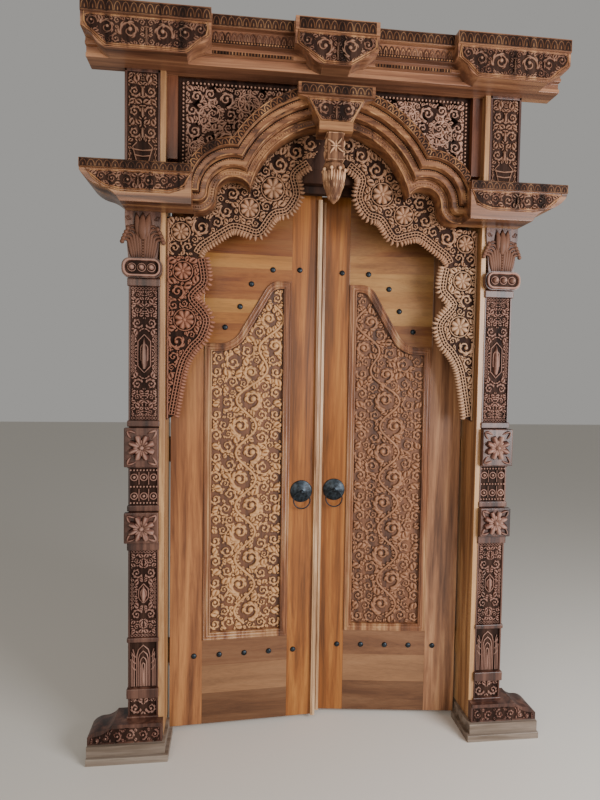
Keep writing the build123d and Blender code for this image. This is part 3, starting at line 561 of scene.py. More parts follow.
class Carving:
    """Strokes of carving, drawn flat as X and Z, that become one relief or one pierced board.

    Args:
        name: Name of the piece.
        depth: Y of the ground that the strokes stand on.
        height: How far a stroke's crest stands before the ground, for each unit of its half width.
        rounds: Rounds of the strokes' section.
        lift: How far the strokes' axis stands before the ground, which undercuts them.
        fullness: How much broader than drawn the leaves are cut.
    """

    def __init__(self, name: str, depth: float, height: float = 1.0, rounds: int = 0, lift: float = 0.0,
                 fullness: float = 1.0) -> None:
        """Starts an empty relief."""
        self.name = name
        self.depth = depth
        self.lift = lift
        self.fullness = fullness
        self.height = height
        self.curve = bpy.data.curves.new(name, "CURVE")
        self.curve.dimensions = "3D"
        self.curve.twist_mode = "Z_UP"
        self.curve.fill_mode = "FULL"
        self.curve.bevel_depth = 1.0
        self.curve.bevel_resolution = rounds
        self.curve.use_fill_caps = True
        self.beads: list[Bead] = []
        self.copies: list[Copy] = [NO_COPY]

    def stroke(self, points: Sequence[Point], widths: Sequence[float], closed: bool = False) -> None:
        """Adds a stroke, once for each copy.

        Args:
            points: Places along the stroke.
            widths: Full width at each of them.
            closed: Whether the stroke ends where it starts.
        """
        if len(points) < 2:
            return
        for cx, cz, sx, sz in self.copies:
            spline = self.curve.splines.new("POLY")
            spline.points.add(len(points) - 1)
            for place, (x, z), width in zip(spline.points, points, widths):
                place.co = (cx + sx * (x - cx), cz + sz * (z - cz), 0.0, 1.0)
                place.radius = width / 2
            spline.use_cyclic_u = closed

    def line(self, points: Sequence[Point], width: float, closed: bool = False) -> None:
        """Adds a stroke of even width."""
        self.stroke(points, [width] * len(points), closed)

    def ring(self, x: float, z: float, radius: float, width: float, count: int = 16) -> None:
        """Adds a full ring."""
        self.line([polar(x, z, radius, 360 * i / count) for i in range(count)], width, closed=True)

    def leaf(self, x: float, z: float, angle: float, length: float, width: float, curl: float = 0.0) -> None:
        """Adds a comma-shaped leaf.

        Args:
            x: X of its foot.
            z: Height of its foot.
            angle: Direction in which it sets out.
            length: Its length.
            width: Its greatest width.
            curl: Degrees that it turns on its way.
        """
        shares = (0.5, 0.95, 1.0, 0.86, 0.55, 0.08) if length > 17 * MM else (0.55, 1.0, 0.8, 0.1)
        points = [(x, z)]
        steps = len(shares) - 1
        for i in range(steps):
            heading = math.radians(angle + curl * (i + 0.5) / steps)
            last_x, last_z = points[-1]
            points.append((last_x + length / steps * math.cos(heading), last_z + length / steps * math.sin(heading)))
        self.stroke(points, [share * width * self.fullness for share in shares])

    def bead(self, x: float, z: float, radius: float, height: float | None = None) -> None:
        """Adds a round bead.

        Args:
            x: X of its centre.
            z: Height of its centre.
            radius: Its radius.
            height: How far it stands out, when that is not its radius.
        """
        for cx, cz, sx, sz in self.copies:
            place = (cx + sx * (x - cx), cz + sz * (z - cz))
            self.beads.append((*place, radius, radius if height is None else height))

    def scroll(self, x: float, z: float, radius: float, start: float, hand: int, width: float,
               turns: float, leaves: int) -> None:
        """Adds a spiral stem that winds in to an eye, with comma leaves along it.

        Args:
            x: Centre of the spiral.
            z: Centre of the spiral.
            radius: Reach of the whole scroll, its leaves included.
            start: Angle at which the stem comes in.
            hand: 1 to wind anticlockwise, -1 clockwise.
            width: Width of the stem where it comes in.
            turns: How many times the stem goes round.
            leaves: Number of leaves on the stem's outer side.
        """
        outer = radius * 0.80
        inner = radius * 0.14
        count = int((16 if radius > 20 * MM else 13) * turns) + 2

        def place(share: float) -> Point:
            """Reach and angle at a share of the stem's length."""
            return outer + (inner - outer) * share ** 0.9, start + hand * 360 * turns * share

        points = [polar(x, z, *place(i / count)) for i in range(count + 1)]
        self.stroke(points, [width * (1.0 - 0.45 * i / count) for i in range(count + 1)])
        self.bead(*points[-1], width * 0.8)
        for i in range(leaves):
            reach, angle = place(0.62 * (i / leaves) ** 1.2)
            size = radius * 0.66 * (0.35 + 0.65 * reach / outer)
            self.leaf(*polar(x, z, reach, angle), angle + hand * 66, size, size * 0.46, hand * 70)
        for i in range(leaves // 2):
            reach, angle = place(0.08 + 0.62 * (i + 0.5) / leaves * 2)
            size = radius * 0.40 * (0.35 + 0.65 * reach / outer)
            self.leaf(*polar(x, z, reach, angle), angle + hand * 122, size, size * 0.6, hand * 60)

    def vine(self, x: float, z: float, radius: float, start: float, hand: int, width: float) -> list[Circle]:
        """Adds a bare spiral stem with leaves that leave it.

        Args:
            x: X of its centre.
            z: Height of its centre.
            radius: Its reach.
            start: Angle at which it comes in.
            hand: 1 to wind anticlockwise, -1 clockwise.
            width: Its width where it comes in.

        Returns:
            The circles that it takes up.
        """
        turns = 1.4
        count = int(16 * turns)
        points = [polar(x, z, radius * (1.0 - 0.72 * i / count), start + hand * 360 * turns * i / count)
                  for i in range(count + 1)]
        self.stroke(points, [width * (1.0 - 0.35 * i / count) for i in range(count + 1)])
        self.bead(*points[-1], width * 0.9)
        for place, heading in zip(points[1::3], headings(points)[1::3]):
            for side in (-1, 1):
                self.leaf(*place, heading + side * 32, radius * 0.34, radius * 0.17, side * 60)
        return [(px, pz, width * 0.5) for px, pz in points]

    def petal(self, x: float, z: float, angle: float, near: float, far: float, width: float) -> None:
        """Adds a round-ended petal that points away from a centre.

        Args:
            x: X of the centre.
            z: Height of the centre.
            angle: Direction of the petal.
            near: Distance at which it starts.
            far: Distance at which it ends.
            width: Its greatest width.
        """
        shares = (0.45, 0.75, 0.95, 1.0, 0.8)
        self.stroke([polar(x, z, near + (far - near) * step / 4, angle) for step in range(5)],
                    [share * width for share in shares])

    def flower(self, x: float, z: float, radius: float, petals: int = 6, start: float = 0.0) -> None:
        """Adds an open flower with a domed eye.

        Args:
            x: X of its centre.
            z: Height of its centre.
            radius: Its reach.
            petals: Number of petals.
            start: Angle of the first petal.
        """
        for i in range(petals):
            angle = start + 360 * i / petals
            self.petal(x, z, angle, radius * 0.15, radius * 0.9, radius * 4.6 / petals)
        self.bead(x, z, radius * 0.24)

    @staticmethod
    def _batch(beads: Sequence[Bead], segments: int) -> bpy.types.Mesh:
        """Makes one mesh of a few beads, because each operator call slows down as its mesh grows.

        Args:
            beads: Place, radius and height of each bead.
            segments: Sides of a bead.

        Returns:
            The mesh, still flat on X and Z.
        """
        def build(shape: bmesh.types.BMesh) -> None:
            """Draws the shape.

            Args:
                shape: Mesh that is drawn into.
            """
            for x, z, radius, height in beads:
                place = Matrix.Translation((x, z, 0)) @ Matrix.Diagonal((radius, radius, height, 1))
                bmesh.ops.create_uvsphere(shape, u_segments=segments, v_segments=max(4, segments // 2 + 1),
                                          radius=1.0, matrix=place)

        return mesh_of(build, "beads")

    def mesh(self, segments: int = 8) -> bpy.types.Mesh:
        """Turns the strokes and beads into a mesh that carries its relief height.

        Args:
            segments: Sides of a bead.

        Returns:
            The mesh in the row frame, drawn on the right.
        """
        holder = bpy.data.objects.new(self.name, self.curve)
        bpy.context.scene.collection.objects.link(holder)
        graph = bpy.context.evaluated_depsgraph_get()
        drawn = bpy.data.meshes.new_from_object(holder.evaluated_get(graph))
        bpy.data.objects.remove(holder)
        bpy.data.curves.remove(self.curve)
        shape = bmesh.new()
        shape.from_mesh(drawn)
        bpy.data.meshes.remove(drawn)
        for first in range(0, len(self.beads), BATCH):
            batch = self._batch(self.beads[first:first + BATCH], segments)
            shape.from_mesh(batch)
            bpy.data.meshes.remove(batch)
        bmesh.ops.recalc_face_normals(shape, faces=shape.faces)
        stand = Matrix.Translation((0, self.depth - self.lift, 0)) @ Matrix.Rotation(math.radians(90), 4, "X")
        bmesh.ops.transform(shape, matrix=stand @ Matrix.Diagonal((1, 1, self.height, 1)), verts=shape.verts)
        mesh = bpy.data.meshes.new(self.name)
        shape.to_mesh(mesh)
        shape.free()
        # Height above the ground, which drives the painted shade in the hollows and the painted highlight on the
        # crests.
        relief = mesh.attributes.new("relief", "FLOAT", "POINT")
        places = np.empty(3 * len(mesh.vertices), dtype=np.float32)
        mesh.vertices.foreach_get("co", places)
        relief.data.foreach_set("value", np.clip((self.depth - places[1::3]) / CREST, 0.0, 1.0))
        return mesh


def polar(x: float, z: float, radius: float, angle: float) -> Point:
    """A point at a distance and an angle, in degrees, from a centre."""
    return (x + radius * math.cos(math.radians(angle)), z + radius * math.sin(math.radians(angle)))


@cache
def packing(outline: tuple[Point, ...], taken: tuple[Circle, ...], largest: float,
            smallest: float) -> list[Circle]:
    """Circles that fill what is free of a field, the widest gap first.

    Args:
        outline: Outline of the field.
        taken: Circles already in use.
        largest: Largest radius.
        smallest: Radius of the smallest gap that is filled.

    Returns:
        Centre and radius of each circle.
    """
    pitch = min(1.5 * MM, smallest / 2)
    corners = np.array(outline)
    (left, low), (right, high) = corners.min(axis=0), corners.max(axis=0)
    xs, zs = np.meshgrid(np.arange(left, right, pitch), np.arange(low, high, pitch), indexing="ij")
    room = np.full(xs.shape, np.inf)
    within = np.zeros(xs.shape, dtype=bool)
    for (ax, az), (bx, bz) in zip(outline, (*outline[1:], outline[0])):
        dx, dz = bx - ax, bz - az
        share = np.clip(((xs - ax) * dx + (zs - az) * dz) / max(dx * dx + dz * dz, 1e-12), 0.0, 1.0)
        room = np.minimum(room, np.hypot(xs - ax - share * dx, zs - az - share * dz))
        if dz:
            within ^= ((az > zs) != (bz > zs)) & (xs < ax + (zs - az) / dz * dx)
    room = np.where(within, room, 0.0)
    for x, z, radius in taken:
        room = np.minimum(room, np.hypot(xs - x, zs - z) - radius)
    circles = []
    while True:
        i, j = divmod(int(room.argmax()), room.shape[1])
        gap = float(room[i, j])
        if gap < smallest:
            return circles
        x, z = float(xs[i, j]), float(zs[i, j])
        radius = min(gap, largest * (1.0, 0.78, 0.9)[len(circles) % 3])
        circles.append((x, z, radius))
        reach = int((radius + largest) / pitch) + 2
        near = (slice(max(0, i - reach), i + reach), slice(max(0, j - reach), j + reach))
        room[near] = np.minimum(room[near], np.hypot(xs[near] - x, zs[near] - z) - 0.9 * radius)


@dataclass
class Foliage:
    """Fills a field with scrolls and leaves until no gap is left.

    Args:
        outline: Outline of the field.
        seed: Start of the deterministic draw of turns.
        largest: Largest radius of a scroll.
        smallest: Radius of the smallest gap that is filled.
        taken: Circles already in use.
        scrolls: Circles at least this large hold a scroll, and smaller ones leaves.
    """

    outline: Sequence[Point]
    seed: int
    largest: float
    smallest: float
    taken: Sequence[Circle] = ()
    scrolls: float = 0.0165

    def grow(self, carving: Carving) -> None:
        """Draws the foliage into a carving.

        Args:
            carving: Relief that the leaves and scrolls are drawn into.
        """
        draw = random.Random(self.seed)
        for x, z, size in packing(tuple(self.outline), tuple(self.taken), self.largest, self.smallest):
            angle, hand = draw.uniform(0, 360), draw.choice((-1, 1))
            if size >= self.scrolls:
                carving.scroll(x, z, size * 1.06, angle, hand, size * 0.26, turns=draw.uniform(1.15, 1.4), leaves=5)
            elif size >= 6 * MM:
                for start in (angle, angle + 180):
                    carving.leaf(*polar(x, z, size * 0.95, start), start + 180 - hand * 62, size * 2.1, size * 0.9,
                                 hand * 125)
            else:
                carving.leaf(*polar(x, z, size * 1.1, angle), angle + 180 - hand * 25, size * 2.4, size * 1.35,
                             hand * 50)


@dataclass(frozen=True)
class Layout:
    """Sizes read from the frame, in metres, for the right half with its leaf closed.

    Args:
        face: Y of the posts' front.
        hood: Y of the front of wings, breaks and keystone.
        board: Y of the pierced boards' front.
        leaf: Y of the closed leaf's front.
        pin: Place of the right leaf's pins.
        arch_z: Height of the great arc's centre.
        wing: Height of the wings' underside.
        great: Radius of the great arc.
        small: Radius of the small arcs beside it.
        shoulder: X of the small arc's centre.
    """

    face: float
    hood: float
    board: float
    leaf: float
    pin: tuple[float, float]
    arch_z: float = 1.988
    wing: float = 1.960
    great: float = 0.2945
    small: float = 0.063
    shoulder: float = 0.345

    @classmethod
    def read(cls, frame: dict) -> "Layout":
        """Reads the sizes from the frame.

        Args:
            frame: The loaded frame.

        Returns:
            The sizes.
        """
        joints = {joint["child"]: joint for joint in frame["joints"]}
        pin = joints["leaf_right"]["pos_m"]
        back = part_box("jamb_right")[1].y
        return cls(face=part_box("pilaster_right")[0].y, hood=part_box("keystone")[0].y,
                   board=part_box("spandrel_right")[0].y, leaf=back - 40 * MM, pin=(pin[0], pin[1]))


def parallel(points: Sequence[Point], offset: float, closed: bool = False) -> list[Point]:
    """A line beside another one.

    Args:
        points: The line.
        offset: Distance, to the left of its run when positive.
        closed: Whether the line ends where it starts.

    Returns:
        The new line.
    """
    moved = []
    count = len(points)
    for i, (x, z) in enumerate(points):
        before = points[(i - 1) % count] if closed or i else points[i]
        after = points[(i + 1) % count] if closed or i < count - 1 else points[i]
        dx, dz = after[0] - before[0], after[1] - before[1]
        long = math.hypot(dx, dz) or 1.0
        moved.append((x - dz / long * offset, z + dx / long * offset))
    return moved


def smooth_line(points: Sequence[Point], pitch: float) -> list[Point]:
    """A soft curve through given points.

    Args:
        points: Places that the curve passes.
        pitch: Distance between the new places.

    Returns:
        Places at an even pitch.
    """
    curve: list[Point] = []
    ends = [points[0], *points, points[-1]]
    for a, b, c, d in zip(ends, ends[1:], ends[2:], ends[3:]):
        for step in range(12):
            t = step / 12
            curve.append(tuple(
                0.5 * (2 * q + (r - p) * t + (2 * p - 5 * q + 4 * r - s) * t * t + (3 * q - p - 3 * r + s) * t ** 3)
                for p, q, r, s in zip(a, b, c, d)))
    curve.append(points[-1])
    return even_steps(curve, pitch)


def even_steps(curve: Sequence[Point], pitch: float) -> list[Point]:
    """Places at an even pitch along a polyline, both ends included.

    Args:
        curve: The polyline.
        pitch: Distance between the new places, which gives way to fit.

    Returns:
        The places.
    """
    lengths = [0.0]
    for (ax, az), (bx, bz) in zip(curve, curve[1:]):
        lengths.append(lengths[-1] + math.hypot(bx - ax, bz - az))
    count = max(1, round(lengths[-1] / pitch))
    result, index = [], 0
    for step in range(count + 1):
        want = lengths[-1] * step / count
        while index < len(lengths) - 2 and lengths[index + 1] < want:
            index += 1
        gap = lengths[index + 1] - lengths[index] or 1.0
        t = (want - lengths[index]) / gap
        (ax, az), (bx, bz) = curve[index], curve[index + 1]
        result.append((ax + (bx - ax) * t, az + (bz - az) * t))
    return result


def headings(points: Sequence[Point]) -> list[float]:
    """Direction of a line at each of its places.

    Args:
        points: The line.

    Returns:
        Directions in degrees.
    """
    result = []
    for i in range(len(points)):
        (ax, az), (bx, bz) = points[max(0, i - 1)], points[min(len(points) - 1, i + 1)]
        result.append(math.degrees(math.atan2(bz - az, bx - ax)))
    return result


def slab(points: Sequence[Point], front: float, back: float) -> bpy.types.Mesh:
    """A flat board.

    Args:
        points: Its outline.
        front: Y of its front.
        back: Y of its back.

    Returns:
        The mesh.
    """
    def build(shape: bmesh.types.BMesh) -> None:
        """Draws the shape.

        Args:
            shape: Mesh that is drawn into.
        """
        face = shape.faces.new([shape.verts.new((x, back, z)) for x, z in points])
        grown = bmesh.ops.extrude_face_region(shape, geom=[face])["geom"]
        moved = [item for item in grown if isinstance(item, bmesh.types.BMVert)]
        bmesh.ops.translate(shape, vec=(0, front - back, 0), verts=moved)
        bmesh.ops.recalc_face_normals(shape, faces=shape.faces)

    return mesh_of(build)


def joined(meshes: Iterable[bpy.types.Mesh], name: str) -> bpy.types.Mesh:
    """One mesh from several.

    Args:
        meshes: Meshes that are used up.
        name: Name of the new one.

    Returns:
        The mesh.
    """
    shape = bmesh.new()
    for mesh in meshes:
        shape.from_mesh(mesh)
        bpy.data.meshes.remove(mesh)
    result = bpy.data.meshes.new(name)
    shape.to_mesh(result)
    shape.free()
    return result


def petals(carving: Carving, points: Sequence[Point], size: float, width: float, outward: int = 1) -> None:
    """Draws a row of round petals, each with a bud in it.

    Args:
        carving: Relief that the strokes are drawn into.
        points: Feet of the petals, at an even pitch.
        size: Height of a petal.
        width: Width of its rim.
        outward: 1 when the petals stand to the left of the row's run, else -1.
    """
    pitch = math.dist(points[0], points[1])
    for (x, z), heading in zip(points, headings(points)):
        up = heading + 90 * outward
        arch = []
        for turn in range(0, 181, 30):
            along = pitch * 0.44 * math.cos(math.radians(turn))
            rise = size * math.sin(math.radians(turn))
            foot = polar(x, z, along, up - 90)
            arch.append(polar(*foot, rise, up))
        carving.line(arch, width)
        carving.leaf(x, z, up, size * 0.62, width * 1.3)


@dataclass
class Group:
    """Pieces that are built together on one mount.

    Args:
        shop: Workshop that finishes the pieces.
        layout: Sizes of the doorway.
        mount: Where the pieces sit.
    """

    shop: Workshop
    layout: Layout
    mount: Mount

    @property
    def word(self) -> str:
        """The side's name as the frame's nodes spell it."""
        return self.mount.side.word

    def carve(self, carving: Carving, finish: Wood, segments: int = 8) -> None:
        """Finishes a carving under its own name, its beads with some number of sides."""
        self.shop.carve(carving, finish, self.mount, segments)

    def ground(self, mesh: bpy.types.Mesh, name: str, replaces: Sequence[str] = ()) -> None:
        """Finishes a field painted near black as shade, which may stand for nodes of the frame."""
        self.shop.ground(mesh, name, self.mount, replaces)

    def finish(self, mesh: bpy.types.Mesh, name: str, finish: Wood | None, smooth: bool = True,
               replaces: Sequence[str] = ()) -> None:
        """Finishes a mesh as the workshop does, on this group's mount."""
        self.shop.finish(mesh, name, finish, self.mount, smooth, replaces)

    def cartouche(self, name: str, outline: Sequence[Point], front: float, seed: int) -> None:
        """Carves a field painted dark as shade on a block's face, with foliage that is the same on both halves and a
        moulded rim.

        Args:
            name: Name of the block.
            outline: Outline of the field.
            front: Y of the field.
            seed: Start of the draw of turns.
        """
        dark = slab(outline, front - 0.6 * MM, front + 2 * MM)
        self.ground(dark, f"{name}_field")
        carving = Carving(f"{name}_foliage", front - 0.6 * MM, height=0.75, lift=1.2 * MM)
        xs, zs = [p[0] for p in outline], [p[1] for p in outline]
        middle = (min(xs) + max(xs)) / 2
        high, low = max(zs), min(zs)
        carving.copies = [(middle, 0.0, 1, 1), (middle, 0.0, -1, 1)]
        carving.leaf(middle, low + 4 * MM, 90, (high - low) * 0.8, 13 * MM)
        taken = [(middle, (low + high) / 2, 8 * MM)]
        half = [point for point in outline if point[0] > middle - 1 * MM]
        first, last = (high, low) if half[0][1] > half[-1][1] else (low, high)
        half = [(middle, first), *half, (middle, last)]
        Foliage(half, seed, (high - low) * 0.42, 2.6 * MM, taken, scrolls=11 * MM).grow(carving)
        self.carve(carving, CARTOUCHE)
        rim = Carving(f"{name}_rim", front - 0.6 * MM, height=0.95, rounds=1)
        rim.line(even_steps([*outline, outline[0]], 20 * MM), 6 * MM)
        rim.line(parallel(outline, 7 * MM if clockwise(outline) else -7 * MM, closed=True), 4 * MM, closed=True)
        self.carve(rim, HOOD)

    def crest(self, name: str, first: float, last: float, low: float, size: float, depth: float) -> None:
        """Builds a crest of petals on a ground painted dark as shade.

        Args:
            name: Name of the crest.
            first: X of its start.
            last: X of its end.
            low: Height of its foot.
            size: Its own height, in millimetres.
            depth: Y of the face that it lies on.
        """
        ground = block((first, depth - 0.5 * MM, low), (last, depth + 2 * MM, low + size * MM))
        self.ground(ground, f"{name}_ground")
        carving = Carving(name, depth, height=0.35)
        petals(carving, even_steps([(first + 13 * MM, low + 3 * MM), (last - 13 * MM, low + 3 * MM)], 26 * MM),
               (size - 7) * MM, 5.5 * MM)
        carving.line([(first, low), (last, low)], 4 * MM)
        carving.line([(first, low + size * MM), (last, low + size * MM)], 4 * MM)
        self.carve(carving, HOOD)


@dataclass
class Post(Group):
    """One carved post with its capital, collar, rosettes and pilaster, and the foot under it.

    Args:
        left: X of the post's inner edge.
        right: X of its outer edge.
        foot: Height of its foot.
        top: Height at which the pilaster stands on it.
        head: X and Z of the pilaster's outer top corner.
        sunk: Depth of the carved fields behind the post's face.
    """

    left: float = 0.604
    right: float = 0.711
    foot: float = 0.135
    top: float = 2.092
    head: Point = (0.726, 2.450)
    sunk: float = 6 * MM

    def build(self) -> None:
        """Builds every piece of the post."""
        self._core()
        self._stages()
        self._rosettes()
        self._collar()
        self._capital()
        self._pilaster()
        self._foot()

    @property
    def middle(self) -> float:
        """X of the post's centre line."""
        return (self.left + self.right) / 2

    def _name(self, word: str) -> str:
        """Name of one of the post's pieces."""
        return f"{word}_{self.word}_wood"

    def _core(self) -> None:
        """Builds the post's ground, painted dark as the shade between the carving, the bands across it and the
        fillets along it.
        """
        face = self.layout.face
        ground = face + self.sunk
        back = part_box(f"column_{self.word}")[1].y
        field_mesh = block((self.left, ground, self.foot), (self.right, back, self.top))
        self.ground(field_mesh, self._name("column_field"), replaces=(f"column_{self.word}",))
        bands = (
            (self.foot, 0.143, 6), (0.213, 0.248, 12), (0.418, 0.434, 6), (0.756, 0.784, 6), (0.898, 0.919, 5),
            (1.054, 1.060, 3), (1.203, 1.225, 6), (1.700, 1.727, 8),
        )
        pieces = [
            block((self.left - 2 * MM, face - reach * MM, low), (self.right + 4 * MM, ground + 4 * MM, high),
                  2.5 * MM)
            for low, high, reach in bands
        ]
        for low, high in ((0.434, 0.756), (0.919, 1.054), (1.225, 1.700), (0.143, 0.213), (0.248, 0.418)):
            for x in (self.left, self.right - 6 * MM):
                pieces.append(block((x, face - 1 * MM, low), (x + 6 * MM, ground + 1 * MM, high), 1 * MM))
        self.finish(joined(pieces, "bands"), self._name("column_bands"), POST_BLOCK, smooth=False)

    def _stages(self) -> None:
        """Carves the stages between the bands, from the socle up to the fluting."""
        ground = self.layout.face + self.sunk
        carving = Carving(self._name("column_carving"), ground, height=1.5, lift=2 * MM)
        self._medallion(carving, 1.2265, 1.700, 0.068, 0.022)
        self._medallion(carving, 0.434, 0.756, 0.036, 0.017)
        self._fluting(carving)
        self._beads(carving)
        self._tulip(carving)
        self._socle(carving)
        self.carve(carving, POST)

    def _medallion(self, carving: Carving, low: float, high: float, half: float, broad: float) -> None:
        """Draws a stage with a long medallion in the middle, the same on all four quarters.

        Args:
            carving: Relief that the strokes are drawn into.
            low: Foot of the stage.
            high: Top of the stage.
            half: Half the medallion's height.
            broad: Half the medallion's width.
        """
        x, z = self.middle, (low + high) / 2
        tip = broad * 1.1 if half > 2 * broad else half
        for share, width in ((1.0, 5 * MM), (0.55, 6 * MM)):
            outline = [(x, z + half * share), (x + broad * share, z + (half - tip) * share),
                       (x + broad * share, z - (half - tip) * share), (x, z - half * share),
                       (x - broad * share, z - (half - tip) * share), (x - broad * share, z + (half - tip) * share)]
            carving.line(even_steps([*outline, outline[0]], 8 * MM), width)
        carving.leaf(x, z - half * 0.8, 90, half * 1.6, broad * 1.2)
        half_post = (self.right - self.left) / 2 - 8 * MM
        carving.copies = [(x, z, sx, sz) for sx in (1, -1) for sz in (1, -1)]
        top = (high - low) / 2
        taken = [(x, z + i * 8 * MM, broad + 3 * MM) for i in range(int(half / (8 * MM)))]
        ring = 6.5 * MM
        steps = int((half + 8 * MM) / (2.1 * ring))
        for i in range(steps):
            place = (x + half_post - ring + 1 * MM, z + (i + 0.5) * 2.1 * ring)
            carving.ring(*place, ring * 0.8, 3.2 * MM, 8)
            carving.bead(*place, 2 * MM)
            taken.append((*place, ring))
        for i in range(4):
            place = (x + (i + 0.5) * half_post / 4, z + top - 7 * MM)
            carving.ring(*place, 4.5 * MM, 2.8 * MM, 8)
            taken.append((*place, 6 * MM))
        quarter = ((x, z), (x + half_post, z), (x + half_post, z + top), (x, z + top))
        first = z + half + 8 * MM
        big = min(0.024, half_post * 0.5)
        place = (x + half_post * 0.52, first + big + 10 * MM)
        carving.scroll(*place, big, 200, 1, 5 * MM, 1.3, 6)
        taken.append((*place, big))
        Foliage(quarter, 11, 14 * MM, 2.6 * MM, taken, scrolls=12 * MM).grow(carving)
        carving.copies = [NO_COPY]

    def _fluting(self, carving: Carving) -> None:
        """Draws upright flutes over a row of petals.

        Args:
            carving: Relief that the strokes are drawn into.
        """
        for i in range(16):
            x = self.left + (6 + 6.3 * i) * MM
            carving.line([(x, 1.744), (x, 1.792)], 4.5 * MM)
        petals(carving, even_steps([(self.left + 14 * MM, 1.729), (self.right - 12 * MM, 1.729)], 20 * MM), 12 * MM,
               4 * MM)

    def _beads(self, carving: Carving) -> None:
        """Draws the stage of rings and beads between the rosettes.

        Args:
            carving: Relief that the strokes are drawn into.
        """
        for row in (0.952, 1.020):
            for step in (-1, 0, 1):
                x = self.middle + step * 34 * MM
                carving.ring(x, row, 12 * MM, 6 * MM, 12)
                carving.bead(x, row, 6 * MM)
        for row in (0.927, 0.986, 1.046):
            for step in range(-4, 5):
                carving.bead(self.middle + step * 11.5 * MM, row, 4 * MM)
        for x in (self.middle - 17 * MM, self.middle + 17 * MM):
            carving.line([(x, 0.934), (x, 0.978)], 4 * MM)
            carving.line([(x, 0.994), (x, 1.040)], 4 * MM)

    def _tulip(self, carving: Carving) -> None:
        """Draws three pointed arches, one inside the other, with leaves that leave them.

        Args:
            carving: Relief that the strokes are drawn into.
        """
        low, high = 0.252, 0.416
        for shift, scale in ((0.0, 1.0), (-52 * MM, 0.85), (52 * MM, 0.85)):
            for nest in range(4):
                half = (23 - 6 * nest) * MM * scale
                top = high - (12 + 22 * nest) * MM
                if half < 3 * MM:
                    continue
                x = self.middle + shift
                left = [(x - half, low), (x - half, top - half * 1.6), (x - half * 0.75, top - half * 0.7), (x, top)]
                right = [(2 * x - px, pz) for px, pz in reversed(left)]
                points = [(px, pz) for px, pz in [*left, *right[1:]]
                          if self.left + 6 * MM <= px <= self.right - 6 * MM]
                carving.line(points, 5 * MM)
            if shift == 0.0:
                carving.leaf(self.middle, low, 90, 70 * MM, 9 * MM)
        for side in (-1, 1):
            for i in range(3):
                carving.leaf(self.middle + side * 27 * MM, low + (60 + 24 * i) * MM, 90 - side * 55, 26 * MM, 8 * MM,
                             side * 40)

    def _socle(self, carving: Carving) -> None:
        """Draws two scrolls, back to back, over the foot.

        Args:
            carving: Relief that the strokes are drawn into.
        """
        x, z = self.middle, 0.178
        carving.copies = [(x, z, 1, 1), (x, z, -1, 1)]
        carving.scroll(x + 28 * MM, z - 8 * MM, 24 * MM, 190, 1, 6 * MM, 1.2, 6)
        half = ((x, 0.146), (self.right - 8 * MM, 0.146), (self.right - 8 * MM, 0.210), (x, 0.210))
        Foliage(half, 5, 12 * MM, 2.6 * MM, [(x + 28 * MM, z - 8 * MM, 0.024)]).grow(carving)

    def _rosettes(self) -> None:
        """Builds two square blocks, each with a flower of two rings of petals."""
        front = self.layout.face - 22 * MM
        x = self.middle + 3 * MM
        blocks = []
        carving = Carving(self._name("rosette_carving"), front, height=1.7)
        for middle, half in ((0.841, 0.055), (1.130, 0.070)):
            blocks.append(block((0.603, front, middle - half),
                                (0.723, self.layout.face + 1 * MM, middle + half), 3 * MM))
            for layer, (reach, width) in enumerate(((52, 27), (35, 19))):
                for i in range(8):
                    angle = 22.5 + 45 * i + layer * 22.5
                    carving.petal(x, middle, angle, 9 * MM, (reach - 7) * MM, width * MM)
            carving.ring(x, middle, 14 * MM, 8 * MM, 14)
            carving.bead(x, middle, 9 * MM, 14 * MM)
            for sx in (-1, 1):
                for sz in (-1, 1):
                    corner = (x + sx * 50 * MM, middle + sz * (half - 10 * MM))
                    carving.leaf(*corner, 90 if sz < 0 else -90, 34 * MM, 11 * MM, -sx * sz * 60)
                    carving.leaf(*corner, 180 if sx > 0 else 0, 34 * MM, 11 * MM, sx * sz * 40)
        self.finish(joined(blocks, "blocks"), self._name("rosette_blocks"), POST_BLOCK, smooth=False,
                    replaces=(f"rosettes_{self.word}",))
        self.carve(carving, POST)

    def _collar(self) -> None:
        """Builds the oval collar with its three bosses."""
        front = self.layout.face - 36 * MM
        x, z = self.middle + 5 * MM, 1.7615
        outline = rounded(x, z, 69 * MM, 34.5 * MM, 27 * MM)
        body = slab(outline, front + 12 * MM, self.layout.face + 1 * MM)
        self.finish(body, self._name("collar_body"), POST_BLOCK, smooth=False, replaces=(f"collar_{self.word}",))
        carving = Carving(self._name("collar_carving"), front + 12 * MM, height=2.4, rounds=1)
        rim = rounded(x, z, 61 * MM, 27 * MM, 22 * MM)
        carving.line(rim, 10 * MM, closed=True)
        for step in (-1, 0, 1):
            carving.ring(x + step * 33 * MM, z, 14 * MM, 4 * MM, 12)
            carving.bead(x + step * 33 * MM, z, 10 * MM)
        self.carve(carving, POST, 10)
        dark = slab(rounded(x, z, 58 * MM, 24 * MM, 20 * MM), front + 11.4 * MM, front + 14 * MM)
        self.ground(dark, self._name("collar_field"))

